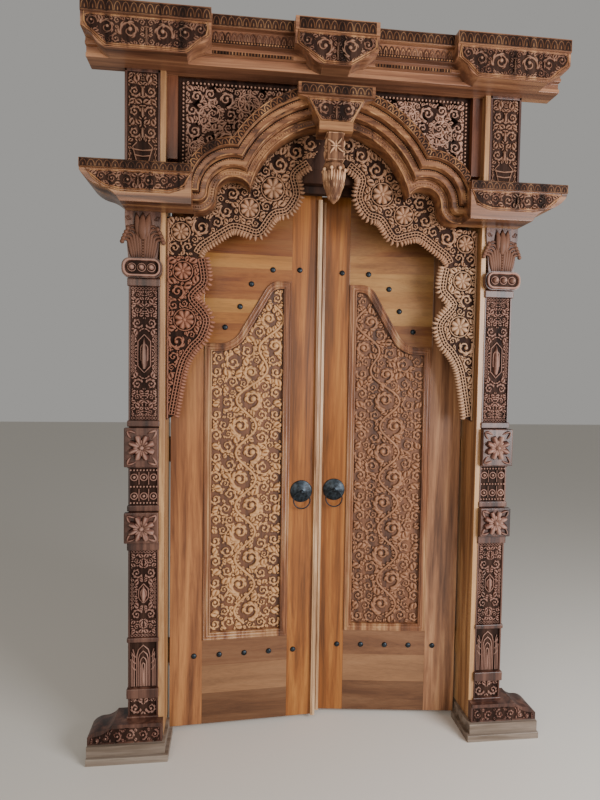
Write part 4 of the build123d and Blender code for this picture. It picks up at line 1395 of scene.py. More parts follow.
    def _capital(self) -> None:
        """Builds the capital: plumes that curl outwards round a central leaf."""
        x = self.middle + 4 * MM
        back = slab([(x - 50 * MM, 1.796), (x + 50 * MM, 1.796), (x + 62 * MM, 1.93), (x + 62 * MM, 1.96),
                     (x - 62 * MM, 1.96), (x - 62 * MM, 1.93)], self.layout.face - 8 * MM, self.layout.face + 1 * MM)
        self.finish(back, self._name("capital_core"), POST_BLOCK, smooth=False, replaces=(f"capital_{self.word}",))
        carving = Carving(self._name("capital_carving"), self.layout.face - 8 * MM, height=0.8, rounds=1,
                          fullness=1.25)
        carving.copies = [(x, 0.0, 1, 1), (x, 0.0, -1, 1)]
        for i in range(5):
            plume = [(x + (6 + 7.5 * i) * MM, 1.799)]
            for step in range(9):
                lean = 3 + 2 * i + max(0, step - 5) * 42
                plume.append(polar(*plume[-1], (146 - 15 * i) * MM / 9, 90 - lean))
            carving.stroke(plume, [wide * MM for wide in (9, 12, 15, 16, 16, 15, 14, 12, 10, 8)])
            carving.bead(*plume[-1], 8 * MM)
        for z, radius in ((1.938, 13), (1.905, 11), (1.872, 9)):
            carving.scroll(x + 50 * MM, z, radius * MM, 200, 1, 5 * MM, 1.0, 3)
        carving.leaf(x + 13 * MM, 1.872, 88, 84 * MM, 26 * MM, -10)
        carving.copies = [NO_COPY]
        carving.leaf(x, 1.862, 90, 94 * MM, 34 * MM)
        carving.line([(x, 1.800), (x, 1.866)], 8 * MM)
        for i in range(7):
            carving.bead(x, 1.804 + 10 * i * MM, 5.5 * MM, 9 * MM)
        self.carve(carving, CAPITAL, 12)

    def _pilaster(self) -> None:
        """Builds the carved post beside the transom, a vase with scrolls over it."""
        face = self.layout.face
        left, low, (right, high) = self.left, self.top, self.head
        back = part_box(f"pilaster_{self.word}")[1].y
        self.ground(block((left, face + self.sunk, low), (right, back, high)), self._name("pilaster_field"),
                    replaces=(f"pilaster_{self.word}",))
        rims = [block((a, face, low), (a + 9 * MM, face + 8 * MM, high), 1.5 * MM) for a in (left, right - 9 * MM)]
        rims += [block((left, face, a), (right, face + 8 * MM, a + b), 1.5 * MM)
                 for a, b in ((low, 16 * MM), (high - 10 * MM, 10 * MM))]
        self.finish(joined(rims, "rims"), self._name("pilaster_rims"), POST_BLOCK, smooth=False)
        carving = Carving(self._name("pilaster_carving"), face + self.sunk, height=1.4, lift=2 * MM)
        x = (left + right) / 2
        half = (right - left) / 2 - 11 * MM
        carving.copies = [(x, 0.0, 1, 1), (x, 0.0, -1, 1)]
        for i in range(4):
            carving.line([(x, 2.112 + 20 * i * MM), (x + (14 + 7 * i) * MM, 2.116 + 20 * i * MM)], 7 * MM)
        carving.line([(x + 14 * MM, 2.11), (x + 34 * MM, 2.185), (x + 20 * MM, 2.2)], 5 * MM)
        taken = [(x + i * 9 * MM, 2.13 + 20 * j * MM, 12 * MM) for i in range(4) for j in range(4)]
        for i, z in enumerate((2.235, 2.305, 2.375)):
            place = (x + 27 * MM, z)
            carving.scroll(*place, 24 * MM, 180 if i % 2 else 200, -1 if i % 2 else 1, 6 * MM, 1.3, 6)
            taken.append((*place, 23 * MM))
            carving.leaf(x, z - 20 * MM, 88, 40 * MM, 12 * MM)
        outline = ((x, 2.11), (x + half, 2.11), (x + half, 2.438), (x, 2.438))
        Foliage(outline, 8, 14 * MM, 2.8 * MM, taken).grow(carving)
        self.carve(carving, CARTOUCHE)

    def _foot(self) -> None:
        """Carves a row of scrolls on the front of the base block."""
        front = self.layout.face - 30 * MM
        outline = [(0.592, 0.068), (0.840, 0.068), (0.836, 0.088), (0.800, 0.096), (0.765, 0.116), (0.592, 0.116)]
        self.ground(slab(outline, front - 0.6 * MM, front + 2 * MM), self._name("base_field"))
        carving = Carving(self._name("base_carving"), front - 0.6 * MM, height=1.5)
        taken = []
        for x, z, size, hand in ((0.700, 0.092, 22, 1), (0.655, 0.092, 22, -1), (0.612, 0.092, 20, 1),
                                 (0.745, 0.091, 21, -1), (0.785, 0.084, 15, 1), (0.815, 0.079, 11, -1)):
            carving.scroll(x, z, size * MM, 90 * hand, hand, 5.5 * MM, 1.2, 6)
            taken.append((x, z, size * MM))
        Foliage(outline, 3, 10 * MM, 2.6 * MM, taken).grow(carving)
        self.carve(carving, POST)


def rounded(x: float, z: float, half_width: float, half_height: float, radius: float) -> list[Point]:
    """Outline of a rounded rectangle.

    Args:
        x: X of its centre.
        z: Height of its centre.
        half_width: Half its width.
        half_height: Half its height.
        radius: Radius of its corners.

    Returns:
        The outline, anticlockwise.
    """
    points = []
    for cx, cz, first in ((1, 1, 0), (-1, 1, 90), (-1, -1, 180), (1, -1, 270)):
        centre = (x + cx * (half_width - radius), z + cz * (half_height - radius))
        points += [polar(*centre, radius, first + 18 * i) for i in range(6)]
    return points


def arch_line(layout: Layout, give: float) -> list[Point]:
    """The hood's underside, from its foot up to the crown.

    Args:
        layout: Sizes of the doorway.
        give: How far outwards the line is drawn.

    Returns:
        The line.
    """
    great, small = layout.great + give, layout.small + give
    shoulder = (layout.shoulder, layout.wing + layout.small)
    foot = layout.small - give
    points: list[Point] = []
    if foot > 2 * MM:
        points.append((0.487, shoulder[1] - foot))
        points += [polar(0.471, shoulder[1], foot, angle) for angle in range(-90, -181, -15)]
    first = 0.0 if foot > 0 else math.degrees(math.acos(min(1.0, 0.142 / small)))
    dx, dz = shoulder[0], shoulder[1] - layout.arch_z
    apart = math.hypot(dx, dz)
    along = (great ** 2 - small ** 2 + apart ** 2) / (2 * apart)
    across = math.sqrt(max(0.0, great ** 2 - along ** 2))
    cusp = (along * dx / apart - across * dz / apart, layout.arch_z + along * dz / apart + across * dx / apart)
    last = math.degrees(math.atan2(cusp[1] - shoulder[1], cusp[0] - shoulder[0]))
    steps = max(4, int(abs(last - first) / 8))
    points += [polar(*shoulder, small, first + (last - first) * i / steps) for i in range(steps)]
    start = math.degrees(math.atan2(cusp[1] - layout.arch_z, cusp[0]))
    steps = max(6, int((90 - start) / 4))
    points += [polar(0.0, layout.arch_z, great, start + (90 - start) * i / steps) for i in range(steps + 1)]
    return points


@dataclass
class Hood(Group):
    """Wings and arch of one side."""

    def build(self) -> None:
        """Builds the carving of the arch and of the wing."""
        self._arch()
        self._wing()

    def _arch(self) -> None:
        """Lays beads, grooves, fillets and a crest of petals along the arch."""
        face, word = self.layout.face, self.word
        for name, reach, lines, row in (
            ("beads", 35, ((3.5, 7), (26.5, 6)), (15, 9.5, 3.6)),
            ("groove_28", 35, ((28, 4.5),), None),
            ("groove_56", 60, ((56, 4.5),), None),
            ("groove_83", 82, ((83, 4.5),), None),
            ("ropes", 60, ((33, 6),), (52, 8, 3)),
            ("fillets", 82, ((61, 6),), (79, 8, 3)),
        ):
            carving = Carving(f"arch_{word}_{name}", face - reach * MM, height=0.9 if row else 0.4,
                              rounds=1 if row else 0)
            for give, width in lines:
                carving.line(self._line(give), width * MM)
            if row:
                give, pitch, radius = row
                for place in even_steps(self._line(give), pitch * MM):
                    carving.bead(*place, radius * MM, 3 * MM)
            # Grooves without a row of beads take the near-black finish, painted shade in the arch's concave steps;
            # the petal ground below is painted shade too.
            self.carve(carving, HOOD if row else SHADE_FIELD, 6)
        inner, outer = self._line(88), self._line(112)
        self.ground(slab([*inner, *reversed(outer)], face - 97.5 * MM, face - 95 * MM), f"arch_{word}_petal_ground")
        crown = Carving(f"arch_{word}_petals", face - 97 * MM, height=0.8)
        crown.line(inner, 5 * MM)
        crown.line(outer, 5 * MM)
        petals(crown, even_steps(self._line(91), 25 * MM), 18 * MM, 5 * MM, outward=-1)
        self.carve(crown, HOOD)

    def _line(self, give: float) -> list[Point]:
        """The hood's underside, drawn outwards by some millimetres."""
        return arch_line(self.layout, give * MM)

    def _wing(self) -> None:
        """Carves the wing's field and its crest of petals."""
        word, hood = self.word, self.layout.hood
        ground = block((0.489, hood - 0.5 * MM, 2.0645), (0.846, hood + 2 * MM, 2.0900))
        self.ground(ground, f"wing_{word}_crown_ground")
        crown = Carving(f"wing_{word}_crown", hood, height=0.35)
        petals(crown, [((0.502 + 0.0255 * i), 2.0665) for i in range(14)], 20 * MM, 5 * MM)
        crown.line([(0.489, 2.0645), (0.846, 2.0645)], 4 * MM)
        crown.line([(0.489, 2.0900), (0.846, 2.0900)], 4 * MM)
        self.carve(crown, HOOD)
        outline = [(0.492, 2.056), (0.828, 2.056), (0.800, 2.034), (0.770, 2.010), (0.715, 2.000), (0.560, 2.000),
                   (0.515, 2.015)]
        self.cartouche(f"wing_{word}", outline, hood + 6 * MM, 21)


def clockwise(points: Sequence[Point]) -> bool:
    """Whether an outline runs clockwise."""
    return sum((bx - ax) * (bz + az) for (ax, az), (bx, bz) in zip(points, (*points[1:], points[0]))) > 0


UPPER_RIBBON = (
    (0.078, 2.175), (0.128, 2.133), (0.120, 2.083), (0.120, 2.050), (0.153, 2.000), (0.203, 1.983), (0.253, 1.917),
    (0.303, 1.925), (0.345, 1.933), (0.378, 1.917), (0.420, 1.888), (0.462, 1.858), (0.478, 1.833),
)
LOWER_RIBBON = (
    (0.462, 1.812), (0.453, 1.767), (0.453, 1.725), (0.487, 1.690), (0.495, 1.667), (0.453, 1.617), (0.441, 1.583),
    (0.462, 1.525), (0.495, 1.490), (0.528, 1.430), (0.548, 1.340), (0.565, 1.245),
)


@dataclass
class Boards(Group):
    """The two pierced boards that hang behind the hood on one side.

    Args:
        jamb: X of the jamb's face that the boards meet.
        joint: Height of the joint between the two boards.
    """

    jamb: float = 0.583
    joint: float = 1.820

    def build(self) -> None:
        """Builds the foliage of the upper and of the lower board."""
        lower_finish = BOARD_LEFT if self.mount.side is Side.LEFT else BOARD_RIGHT
        arch = [point for point in arch_line(self.layout, 0.004) if point[0] > 0.03]
        upper = [(0.030, 2.245), (0.050, 2.200), *UPPER_RIBBON, (0.478, self.joint), (self.jamb, self.joint),
                 (self.jamb, 1.956), *arch]
        self._board("spandrel", UPPER_RIBBON, upper, BOARD_HIGH, 31, ((0.205, 2.075, 0.045), (0.290, 2.000, 0.040),
                                                                     (0.535, 1.905, 0.036)))
        lower = [(0.475, self.joint), *LOWER_RIBBON, (self.jamb, 1.225), (self.jamb, self.joint)]
        self._board("bracket", LOWER_RIBBON, lower, lower_finish, 32, ((0.527, 1.765, 0.038), (0.520, 1.590, 0.042)))

    def _board(self, word: str, ribbon: Sequence[Point], outline: Sequence[Point], finish: Wood, seed: int,
               flowers: Sequence[Circle]) -> None:
        """Builds one pierced board.

        Args:
            word: Name of the board's node, without its side.
            ribbon: Middle of the ribbon along its free edge.
            outline: Outline of the board, with the ribbon in it.
            finish: Teak finish.
            seed: Start of the draw of turns.
            flowers: Centre and radius of each ringed flower.
        """
        name = f"{word}_{self.word}_foliage"
        carving = Carving(name, self.layout.board + 9 * MM, height=1.3, lift=4 * MM)
        middle = smooth_line(ribbon, 12 * MM)
        rim = parallel(middle, -13 * MM)
        start = outline.index(ribbon[0])
        edge_line = [*outline[:start], *rim, *outline[start + len(ribbon):]]
        # The board's ground is painted near black as the shade seen through the openwork.
        ground = slab([(min(x, self.jamb), z) for x, z in edge_line], self.layout.board + 9 * MM,
                      self.layout.board + 23 * MM)
        self.ground(ground, f"{word}_{self.word}_ground", replaces=(f"{word}_{self.word}",))
        taken = [(x, z, 15 * MM) for x, z in middle]
        for offset in (-10.5 * MM, 0.0, 10.5 * MM):
            carving.line(parallel(middle, offset), 5 * MM)
        for (x, z), heading in zip(middle, headings(middle)):
            carving.line([polar(x, z, 10 * MM, heading + 90), polar(x, z, 10 * MM, heading - 90)], 3.5 * MM)
            foot = polar(x, z, 12 * MM, heading - 90)
            if foot[0] < self.jamb - 6 * MM:
                carving.leaf(*foot, heading - 55, 21 * MM, 13 * MM, -60)
        for x, z, radius in flowers:
            carving.ring(x, z, radius - 3 * MM, 5 * MM, 20)
            carving.flower(x, z, radius - 5 * MM, 8, 18)
            taken.append((x, z, radius))
        Foliage(outline, seed, 38 * MM, 3.2 * MM, taken).grow(carving)
        zs = [z for _, z in outline]
        edge = self.jamb - 3 * MM
        carving.line([(edge, max(min(zs), 1.23)), (edge, max(zs) if word == "bracket" else 1.95)], 7 * MM)
        self.carve(carving, finish, 6)


@dataclass
class Transom(Group):
    """Foliage on one half of the fretwork over the door.

    Args:
        top: Height of the fretwork's upper edge.
        side: X of its outer edge.
    """

    top: float = 2.446
    side: float = 0.536

    def build(self) -> None:
        """Builds the fretwork's foliage, with its rows of beads along the frame."""
        name = f"transom_{self.word}_foliage"
        carving = Carving(name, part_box("transom_fretwork")[0].y + 1 * MM, height=1.3, lift=3 * MM)
        top, side = self.top, self.side
        outline = [*arch_line(self.layout, 0.112), (0.0, top), (side, top), (side, 2.090), (0.487, 2.090)]
        taken = [(side - 6 * MM, 2.10 + 14 * i * MM, 8 * MM) for i in range(25)]
        for x, z, _ in taken:
            carving.bead(x, z, 4.5 * MM)
        for i in range(36):
            carving.bead(14 * i * MM + 7 * MM, top - 6 * MM, 4.5 * MM)
            taken.append((14 * i * MM + 7 * MM, top - 6 * MM, 8 * MM))
        for x, z, radius, hand in ((0.430, 2.330, 58, 1), (0.300, 2.375, 46, -1), (0.480, 2.200, 44, -1)):
            taken += carving.vine(x, z, radius * MM, 200, hand, 8 * MM)
        Foliage(outline, 41, 34 * MM, 3.2 * MM, taken).grow(carving)
        self.carve(carving, FRETWORK, 6)


@dataclass
class Cornice(Group):
    """One half of the cornice, with the break at its end."""

    def build(self) -> None:
        """Carves the crest, frieze, dentils and pegs between the breaks, and then the break."""
        face, word = self.layout.face, self.word
        self.crest(f"cornice_{word}_crown", 0.148, 0.422, 2.563, 34, face - 95 * MM)
        # Bands behind the dentils and the pegs, painted near black as shade.
        for low, high, reach in ((2.5125, 2.5235, 80), (2.4865, 2.4975, 62)):
            dark = block((0.146, face - (reach + 0.5) * MM, low), (0.424, face - (reach - 2) * MM, high))
            self.ground(dark, f"cornice_{word}_dark_{reach}")
        rows = Carving(f"cornice_{word}_dentils", face - 80 * MM, height=0.8)
        for place in even_steps([(0.150, 2.518), (0.420, 2.518)], 10 * MM):
            rows.bead(*place, 4 * MM)
        self.carve(rows, HOOD, 6)
        frieze = Carving(f"cornice_{word}_frieze", face - 72 * MM, height=0.7)
        petals(frieze, even_steps([(0.158, 2.528), (0.412, 2.528)], 21 * MM), 26 * MM, 6 * MM)
        self.carve(frieze, CARTOUCHE)
        pegs = Carving(f"cornice_{word}_pegs", face - 62 * MM, height=1.0)
        for x, z in even_steps([(0.150, 2.492), (0.420, 2.492)], 11 * MM):
            pegs.line([(x, z - 5 * MM), (x, z + 5 * MM)], 6 * MM)
        self.carve(pegs, HOOD, 6)
        self.cartouche(f"break_{word}", [(0.437, 2.550), (0.831, 2.550), (0.831, 2.516), (0.795, 2.490),
                       (0.766, 2.461), (0.502, 2.461), (0.473, 2.490), (0.437, 2.516)], self.layout.hood + 6 * MM, 23)
        self.crest(f"break_{word}_crown", 0.427, 0.841, 2.560, 36, self.layout.hood)


@dataclass
class Crown(Group):
    """The cornice's middle break, the keystone and the pendant.

    Args:
        cube: Half the width of the pendant's cube.
        drop: Height of the cube's underside, and of its top.
    """

    cube: float = 28 * MM
    drop: Point = (2.133, 2.2325)

    def build(self) -> None:
        """Builds the carving of the doorway's crown."""
        hood = self.layout.hood
        self.cartouche("break_centre", [(-0.133, 2.550), (0.133, 2.550), (0.133, 2.516), (0.090, 2.490),
                       (0.045, 2.461), (-0.045, 2.461), (-0.090, 2.490), (-0.133, 2.516)], hood + 6 * MM, 24)
        self.crest("break_centre_crown", -0.132, 0.132, 2.560, 36, hood)
        self.cartouche("keystone", [(-0.092, 2.336), (0.092, 2.336), (0.052, 2.268), (-0.052, 2.268)],
                       hood + 12 * MM, 25)
        self.crest("keystone_crown", -0.122, 0.122, 2.352, 29, hood)
        self._pendant()

    def _pendant(self) -> None:
        """Builds the pendant: a carved cube over a bud with two tiers of leaves."""
        axis = (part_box("pendant")[0].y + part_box("pendant")[1].y) / 2
        half, (low, high) = self.cube, self.drop
        bud = ((2.133, 27), (2.129, 34), (2.122, 38), (2.113, 34), (2.108, 28), (2.103, 31), (2.085, 37), (2.060, 36),
               (2.025, 25), (2.005, 12), (1.995, 3))
        turned_bud = lathe([(r * MM, z) for z, r in bud], (0.0, axis), 20)
        body = joined([block((-half, axis - half, low), (half, axis + half, high), 3 * MM), turned_bud], "pendant")
        self.finish(body, "pendant_body", PENDANT_GROUND, replaces=("pendant",))
        for i, turn in enumerate((0, 90, 180, 270)):
            carving = Carving(f"pendant_face_{i}", -half, height=1.2)
            for level in (low + 5 * MM, high - 5 * MM):
                carving.line([(-half + 3 * MM, level), (half - 3 * MM, level)], 6 * MM)
            for lean in (45, 135, 225, 315):
                carving.leaf(*polar(0, 2.183, 5 * MM, lean), lean, 34 * MM, 13 * MM, 25)
            for lean in (0, 90, 180, 270):
                carving.leaf(0, 2.183, lean, 24 * MM, 9 * MM)
            carving.bead(0, 2.183, 5 * MM)
            self._round_axis(carving.mesh(), f"pendant_face_{i}", turn, axis, 0, high)
        for i in range(8):
            carving = Carving(f"pendant_leaf_{i}", -34 * MM, height=1.0)
            for side in (-1, 1):
                carving.leaf(side * 9 * MM, 2.100, -90, 96 * MM, 13 * MM, -side * 10)
            carving.leaf(0, 2.104, -90, 60 * MM, 17 * MM)
            carving.bead(0, 2.108, 7 * MM)
            self._round_axis(carving.mesh(), f"pendant_leaf_{i}", 45 * i + 22.5, axis, 12, 2.09)
            carving = Carving(f"pendant_tip_{i}", -33 * MM, height=1.0)
            for side in (-1, 1):
                carving.leaf(side * 5 * MM, 2.066, -90, 62 * MM, 11 * MM, -side * 12)
            self._round_axis(carving.mesh(), f"pendant_tip_{i}", 45 * i, axis, 25, 2.062)

    def _round_axis(self, mesh: bpy.types.Mesh, name: str, turn: float, axis: float, tilt: float,
                    pivot: float) -> None:
        """Turns a piece that was drawn at the front about the pendant's axis.

        Args:
            mesh: Relief drawn for the front.
            name: Name of the piece.
            turn: Degrees about the axis.
            axis: Y of the axis.
            tilt: Degrees that its foot leans inwards.
            pivot: Height at which it leans.
        """
        hinge = Matrix.Translation((0, -34 * MM, pivot))
        lean = hinge @ Matrix.Rotation(math.radians(tilt), 4, "X") @ hinge.inverted()
        mesh.transform(Matrix.Translation((0, axis, 0)) @ Matrix.Rotation(math.radians(turn), 4, "Z") @ lean)
        self.finish(mesh, name, PENDANT)


def lathe(profile: Sequence[Point], centre: Point, steps: int, level: bool = False) -> bpy.types.Mesh:
    """Turns a profile about an upright axis, or about an axis along Y.

    Args:
        profile: Radius and place along the axis of each point, in order.
        centre: X and Y of an upright axis, or X and Z of a level one.
        steps: Facets round the axis.
        level: Whether the axis runs along Y.

    Returns:
        The turned mesh, closed where the profile meets its axis.
    """

    def build(shape: bmesh.types.BMesh) -> None:
        """Draws the shape.

        Args:
            shape: Mesh that is drawn into.
        """
        if level:
            points = [shape.verts.new((centre[0] + r, along, centre[1])) for r, along in profile]
            middle, axis = (centre[0], 0, centre[1]), (0, 1, 0)
        else:
            points = [shape.verts.new((centre[0] + r, centre[1], along)) for r, along in profile]
            middle, axis = (centre[0], centre[1], 0), (0, 0, 1)
        edges = [shape.edges.new(pair) for pair in zip(points, points[1:])]
        bmesh.ops.spin(shape, geom=[*points, *edges], cent=middle, axis=axis, angle=math.tau, steps=steps,
                       use_merge=True)
        bmesh.ops.remove_doubles(shape, verts=shape.verts, dist=1e-5)
        bmesh.ops.holes_fill(shape, edges=[edge for edge in shape.edges if edge.is_boundary])
        bmesh.ops.recalc_face_normals(shape, faces=shape.faces)

    return mesh_of(build)


def softened(before: Point, corner: Point, after: Point, radius: float) -> list[Point]:
    """Rounds a corner of an outline.

    Args:
        before: Corner before it.
        corner: The corner itself.
        after: Corner after it.
        radius: Radius of the arc.

    Returns:
        Points of the arc.
    """
    middle = Vector(corner)
    back, onward = (Vector(before) - middle).normalized(), (Vector(after) - middle).normalized()
    half = back.angle(onward) / 2
    run = radius / math.tan(half)
    start, end = middle + back * run, middle + onward * run
    centre = middle + (back + onward).normalized() * (radius / math.sin(half))
    first = math.atan2(*(start - centre).yx)
    sweep = math.atan2(*(end - centre).yx) - first
    sweep = (sweep + math.pi) % math.tau - math.pi
    steps = 7
    return [polar(*centre, radius, math.degrees(first + sweep * i / steps)) for i in range(steps + 1)]


def panel_line(inset: float) -> list[Point]:
    """Outline of the closed right leaf's panel, anticlockwise from its foot.

    Args:
        inset: How far inwards the line is drawn.

    Returns:
        The outline.
    """
    low, high = (0.348, 1.513), (0.205, 1.760)
    edge = [(0.120, 0.350), (0.456, 0.350), (0.456, 1.513)]
    edge += softened(edge[-1], low, high, 90 * MM)
    edge += softened(low, high, (0.120, 1.760), 70 * MM)
    edge.append((0.120, 1.760))
    moved = []
    for i, corner in enumerate(edge):
        before, after = Vector(edge[i - 1]), Vector(edge[(i + 1) % len(edge)])
        into = (Vector(corner) - before).normalized()
        out = (after - Vector(corner)).normalized()
        mitre = Vector((-into.y - out.y, into.x + out.x))
        scale = inset * 2 / max(0.5, mitre.length_squared)
        moved.append((corner[0] + mitre.x * scale, corner[1] + mitre.y * scale))
    return moved


@dataclass
class Leaf(Group):
    """One leaf of the door with its panel, studs and pull.

    Args:
        axis: X of the winding stem, before it leans.
        lean: How far the stem leans to the meeting edge where the panel narrows.
        bay: Height of one bend of the stem.
        pull: X and Z of the pull.
        ring: Radius of the pull ring.
        stud: Radius of a stud.
        dome: How far a stud stands out.
    """

    axis: float = 0.293
    lean: float = 105 * MM
    bay: float = 105 * MM
    pull: Point = (0.071, 0.933)
    ring: float = 33 * MM
    stud: float = 11 * MM
    dome: float = 7.5 * MM

    @classmethod
    def hang(cls, shop: Workshop, layout: Layout, side: Side, ajar: float) -> "Leaf":
        """Hangs a leaf on its pins.

        Args:
            shop: Workshop that finishes the pieces.
            layout: Sizes of the doorway.
            side: Which leaf.
            ajar: Degrees that it stands open.

        Returns:
            The leaf.
        """
        x, y = layout.pin
        pins = Matrix.Translation((side.value * x, y, 0))
        turn = pins @ Matrix.Rotation(math.radians(-side.value * ajar), 4, "Z") @ pins.inverted()
        return cls(shop, layout, Mount(f"leaf_{side.word}", side, turn))

    def build(self) -> None:
        """Builds every piece of the leaf."""
        self._panel()
        self._moulding()
        self._studs()
        self._pull()

    def _panel(self) -> None:
        """Builds the carved panel: a winding stem with a scroll in each of its bends."""
        word = self.word
        finish = PANEL_LEFT if self.mount.side is Side.LEFT else PANEL_RIGHT
        ground = self.layout.leaf + 11 * MM
        outline = panel_line(4 * MM)
        plate = slab(outline, ground, self.layout.leaf + 30 * MM)
        self.finish(plate, f"panel_{word}_ground", PANEL_GROUND, smooth=False, replaces=(f"carved_panel_{word}",))
        field_line = panel_line(32 * MM)
        carving = Carving(f"panel_{word}_foliage", ground, height=0.85, lift=3 * MM, fullness=1.4)
        taken: list[Circle] = []
        bay = self.bay
        for i in range(12):
            side = 1 if i % 2 else -1
            low = 0.405 + bay * i
            size = (47 if low < 1.30 else 36) * MM
            stem = [(self._axis(low + bay * share / 6) - side * 40 * MM * math.sin(math.pi * share / 6),
                     low + bay * share / 6) for share in range(7)]
            carving.line(stem, 13 * MM)
            place = (self._axis(low + bay / 2) + side * 20 * MM, low + bay / 2)
            carving.scroll(*place, size, 270, side, 15 * MM, 1.3, 7)
            taken.append((*place, size * 0.86))
            taken += [(x, z, 7 * MM) for x, z in stem]
        for side in (-1, 1):
            for i in range(13):
                place = (self.axis + side * 116 * MM, 0.410 + 83 * i * MM)
                carving.scroll(*place, 29 * MM, 90 - 60 * side, side if i % 2 else -side, 9 * MM, 1.2, 5)
                taken.append((*place, 26 * MM))
        Foliage(field_line, 51 if self.mount.side is Side.LEFT else 52, 36 * MM, 4.0 * MM, taken).grow(carving)
        self.carve(carving, finish)

    def _axis(self, z: float) -> float:
        """X of the vine's axis, which leans to the meeting edge where the panel narrows."""
        share = min(1.0, max(0.0, (z - 1.28) / 0.30))
        return self.axis - self.lean * share * share * (3 - 2 * share)

    def _moulding(self) -> None:
        """Lays three beads along the panel's moulding, and one on the cover strip."""
        word = self.word
        front = self.layout.leaf - 5 * MM
        carving = Carving(f"moulding_{word}_beads", front + 2 * MM, height=0.9, rounds=2)
        for inset, width in ((4, 7), (15, 11), (26, 6)):
            line = panel_line(inset * MM)
            carving.line([*line, line[0]], width * MM)
        self.carve(carving, MOULDING)
        strip = Carving(f"strip_{word}_bead", self.layout.leaf - 11 * MM, height=0.8, rounds=2)
        strip.line([(0.0125, 0.02), (0.0125, 2.076)], 9 * MM)
        self.carve(strip, STRIP)

    def _studs(self) -> None:
        """Builds the ten domed studs."""
        studs = Carving(f"studs_{self.word}_domes", self.layout.leaf, height=1.0)
        for step in range(5):
            studs.bead(0.487 - 0.098 * step, 0.290, self.stud, self.dome)
        for setout, height in ((491, 1791), (385, 1787), (302, 1729), (259, 1641), (202, 1560)):
            studs.bead(0.580 - setout * MM, (15 + height) * MM, self.stud, self.dome)
        self.finish(studs.mesh(16), f"studs_{self.word}_domes", None, replaces=(f"studs_{self.word}",))

    def _pull(self) -> None:
        """Builds the turned plate and the ring that hangs from it."""
        word, leaf = self.word, self.layout.leaf
        x, z = self.pull
        turned = ((44, 0), (44, 3), (41, 3.5), (36, 6), (24, 11), (10, 13), (6, 15), (5.5, 26), (3, 28), (0, 28))
        plate = lathe([(radius * MM, leaf - reach * MM) for radius, reach in turned], (x, z), 32, True)
        self.finish(plate, f"pull_{word}_plate", None, replaces=(f"pull_plate_{word}",))

        def wire(shape: bmesh.types.BMesh) -> None:
            """Draws the ring's round section and spins it.

            Args:
                shape: Mesh that is drawn into.
            """
            upright = Matrix.Rotation(math.radians(90), 4, "X")
            stand = Matrix.Translation((x, leaf - 21 * MM, z - self.ring)) @ upright
            made = bmesh.ops.create_circle(shape, segments=10, radius=2.5 * MM,
                                           matrix=Matrix.Translation((self.ring, 0, 0)) @ upright)
            edges = {edge for vertex in made["verts"] for edge in vertex.link_edges}
            bmesh.ops.spin(shape, geom=[*made["verts"], *edges], cent=(0, 0, 0), axis=(0, 0, 1), angle=math.tau,
                           steps=40, use_merge=True)
            bmesh.ops.remove_doubles(shape, verts=shape.verts, dist=1e-5)
            bmesh.ops.recalc_face_normals(shape, faces=shape.faces)
            bmesh.ops.transform(shape, matrix=stand, verts=shape.verts)

        ring_mount = Mount(f"ring_{word}", self.mount.side, self.mount.turn)
        self.shop.finish(mesh_of(wire), f"ring_{word}_wire", None, ring_mount, replaces=(f"ring_{word}",))


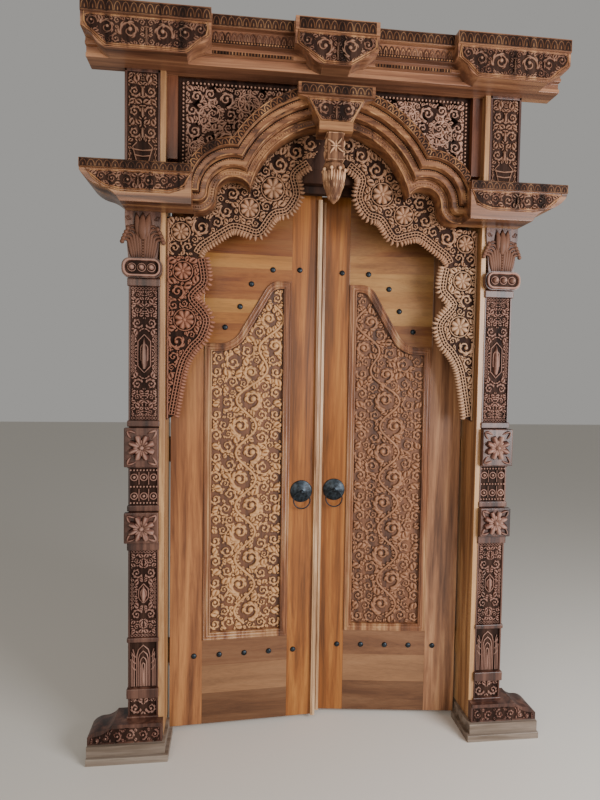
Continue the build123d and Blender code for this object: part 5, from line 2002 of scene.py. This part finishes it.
@dataclass
class Studio:
    """Pale floor, soft light and the camera.

    Args:
        palette: Materials.
        layout: Sizes of the doorway.
        aim: What the lamps shine at.
        lens: Focal length in millimetres, on film 36 mm wide.
        eye: Where the camera stands, its Y counted from the posts' face.
        swing: Degrees that it looks to the right.
        dip: Degrees that it looks down.
        roll: Degrees that it leans.
    """

    palette: Palette
    layout: Layout
    aim: tuple[float, float, float] = (0.0, 0.0, 1.0)
    lens: float = 25.2
    eye: tuple[float, float, float] = (-0.337, -2.046, 1.396)
    swing: float = 6.69
    dip: float = 2.56
    roll: float = 0.88

    def build(self) -> None:
        """Builds the studio round the doorway."""
        floor = mesh_of(lambda shape: bmesh.ops.create_grid(shape, x_segments=1, y_segments=1, size=14.0), "floor")
        floor.materials.append(self.palette.plain("studio_floor", "#cfcac2", 0.9))
        ground = bpy.data.objects.new("studio_floor", floor)
        bpy.context.scene.collection.objects.link(ground)
        world = bpy.data.worlds.new("studio")
        world.use_nodes = True
        sky = world.node_tree.nodes["Background"]
        sky.inputs[0].default_value = linear("#dad8d4")
        sky.inputs[1].default_value = 0.5
        bpy.context.scene.world = world
        lamps = [
            self._lamp("key", (2.1, -2.3, 1.6), 1.6, 165.0, "#f4f4f6"),
            self._lamp("fill", (-1.6, -3.4, 2.2), 2.4, 62.0, "#fff2e2"),
        ]
        self._camera()

    def _lamp(self, name: str, place: Sequence[float], size: float, power: float, colour: str) -> bpy.types.Object:
        """Hangs one soft lamp.

        Args:
            name: Name of the lamp.
            place: Where it hangs.
            size: Side of its square, in metres.
            power: Power in watts.
            colour: Colour as an sRGB code.

        Returns:
            The lamp.
        """
        light = bpy.data.lights.new(name, "AREA")
        light.energy, light.size, light.color = power, size, linear(colour)[:3]
        lamp = bpy.data.objects.new(name, light)
        turn = (Vector(self.aim) - Vector(place)).to_track_quat("-Z", "Y").to_matrix().to_4x4()
        lamp.matrix_world = Matrix.Translation(place) @ turn
        bpy.context.scene.collection.objects.link(lamp)
        return lamp

    def _camera(self) -> bpy.types.Object:
        """Sets the camera up where the photograph was taken.

        Returns:
            The camera.
        """
        view = bpy.data.cameras.new("camera")
        view.lens, view.sensor_width = self.lens, 36.0
        camera = bpy.data.objects.new("camera", view)
        turns = ((-self.swing, "Z"), (90 - self.dip, "X"), (self.roll, "Z"))
        swing, dip, roll = (Matrix.Rotation(math.radians(angle), 4, axis) for angle, axis in turns)
        place = Matrix.Translation((0, self.layout.face, 0)) @ Matrix.Translation(self.eye)
        camera.matrix_world = place @ swing @ dip @ roll
        bpy.context.scene.collection.objects.link(camera)
        bpy.context.scene.camera = camera
        return camera


def dress(frame: dict, palette: Palette) -> None:
    """Gives the frame's own nodes their finishes, with softened edges on the plain timbers.

    Args:
        frame: The loaded frame.
        palette: Materials.
    """
    # Fretwork, its backing and the boards' nodes take the near-black painted shade; the lintel is painted nearly
    # black as the shade behind the pendant, and the jamb's edge carries a painted highlight.
    finishes = {
        "plinth": PLINTH, "base_block": POST_BLOCK, "jamb": EDGE, "wing": HOOD_PLAIN, "arch": HOOD_PLAIN,
        "spandrel": SHADE_FIELD, "bracket": SHADE_FIELD, "transom_stile": LINING, "keystone": HOOD_PLAIN, "cornice": CORNICE,
        "cornice_break": CORNICE, "transom_rail": LINING, "transom_fretwork": SHADE_FIELD, "transom_backing": SHADE_FIELD,
        "door_head": LINTEL_SHADE, "panel_moulding": MOULDING, "cover_strip": STRIP, "meeting_stile": MEETING,
        "bottom_rail": BOTTOM_RAIL, "hinge_stile_left": STILE_LEFT, "hinge_stile_right": STILE_RIGHT,
        "top_rail_left": TOP_RAIL_LEFT, "top_rail_right": TOP_RAIL_RIGHT,
    }
    for name, node in frame["nodes"].items():
        matches = [key for key in finishes if name.startswith(key)]
        node.data.materials.clear()
        node.data.materials.append(palette.wood(finishes[max(matches, key=len)]) if matches else palette.iron())
        if matches and not name.startswith(("top_rail", "panel_moulding")):
            weld = node.modifiers.new("weld", "WELD")
            weld.merge_threshold = 1e-5
            soften = node.modifiers.new("soften", "BEVEL")
            soften.width, soften.segments, soften.limit_method = 1.2 * MM, 2, "ANGLE"
            soften.angle_limit = math.radians(35)


def main() -> None:
    """Builds the doorway's looks and the studio."""
    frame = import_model()
    layout = Layout.read(frame)
    palette = Palette()
    shop = Workshop(palette)
    dress(frame, palette)
    for side in Side:
        mount = Mount("frame", side)
        Post(shop, layout, mount).build()
        Hood(shop, layout, mount).build()
        Boards(shop, layout, mount).build()
        Transom(shop, layout, mount).build()
    for side in Side:
        Cornice(shop, layout, Mount("frame", side)).build()
    Crown(shop, layout, Mount("frame")).build()
    for side, ajar in ((Side.LEFT, 3.5), (Side.RIGHT, 6.8)):
        Leaf.hang(shop, layout, side, ajar).build()
    Studio(palette, layout).build()


if __name__ == "__main__":
    main()
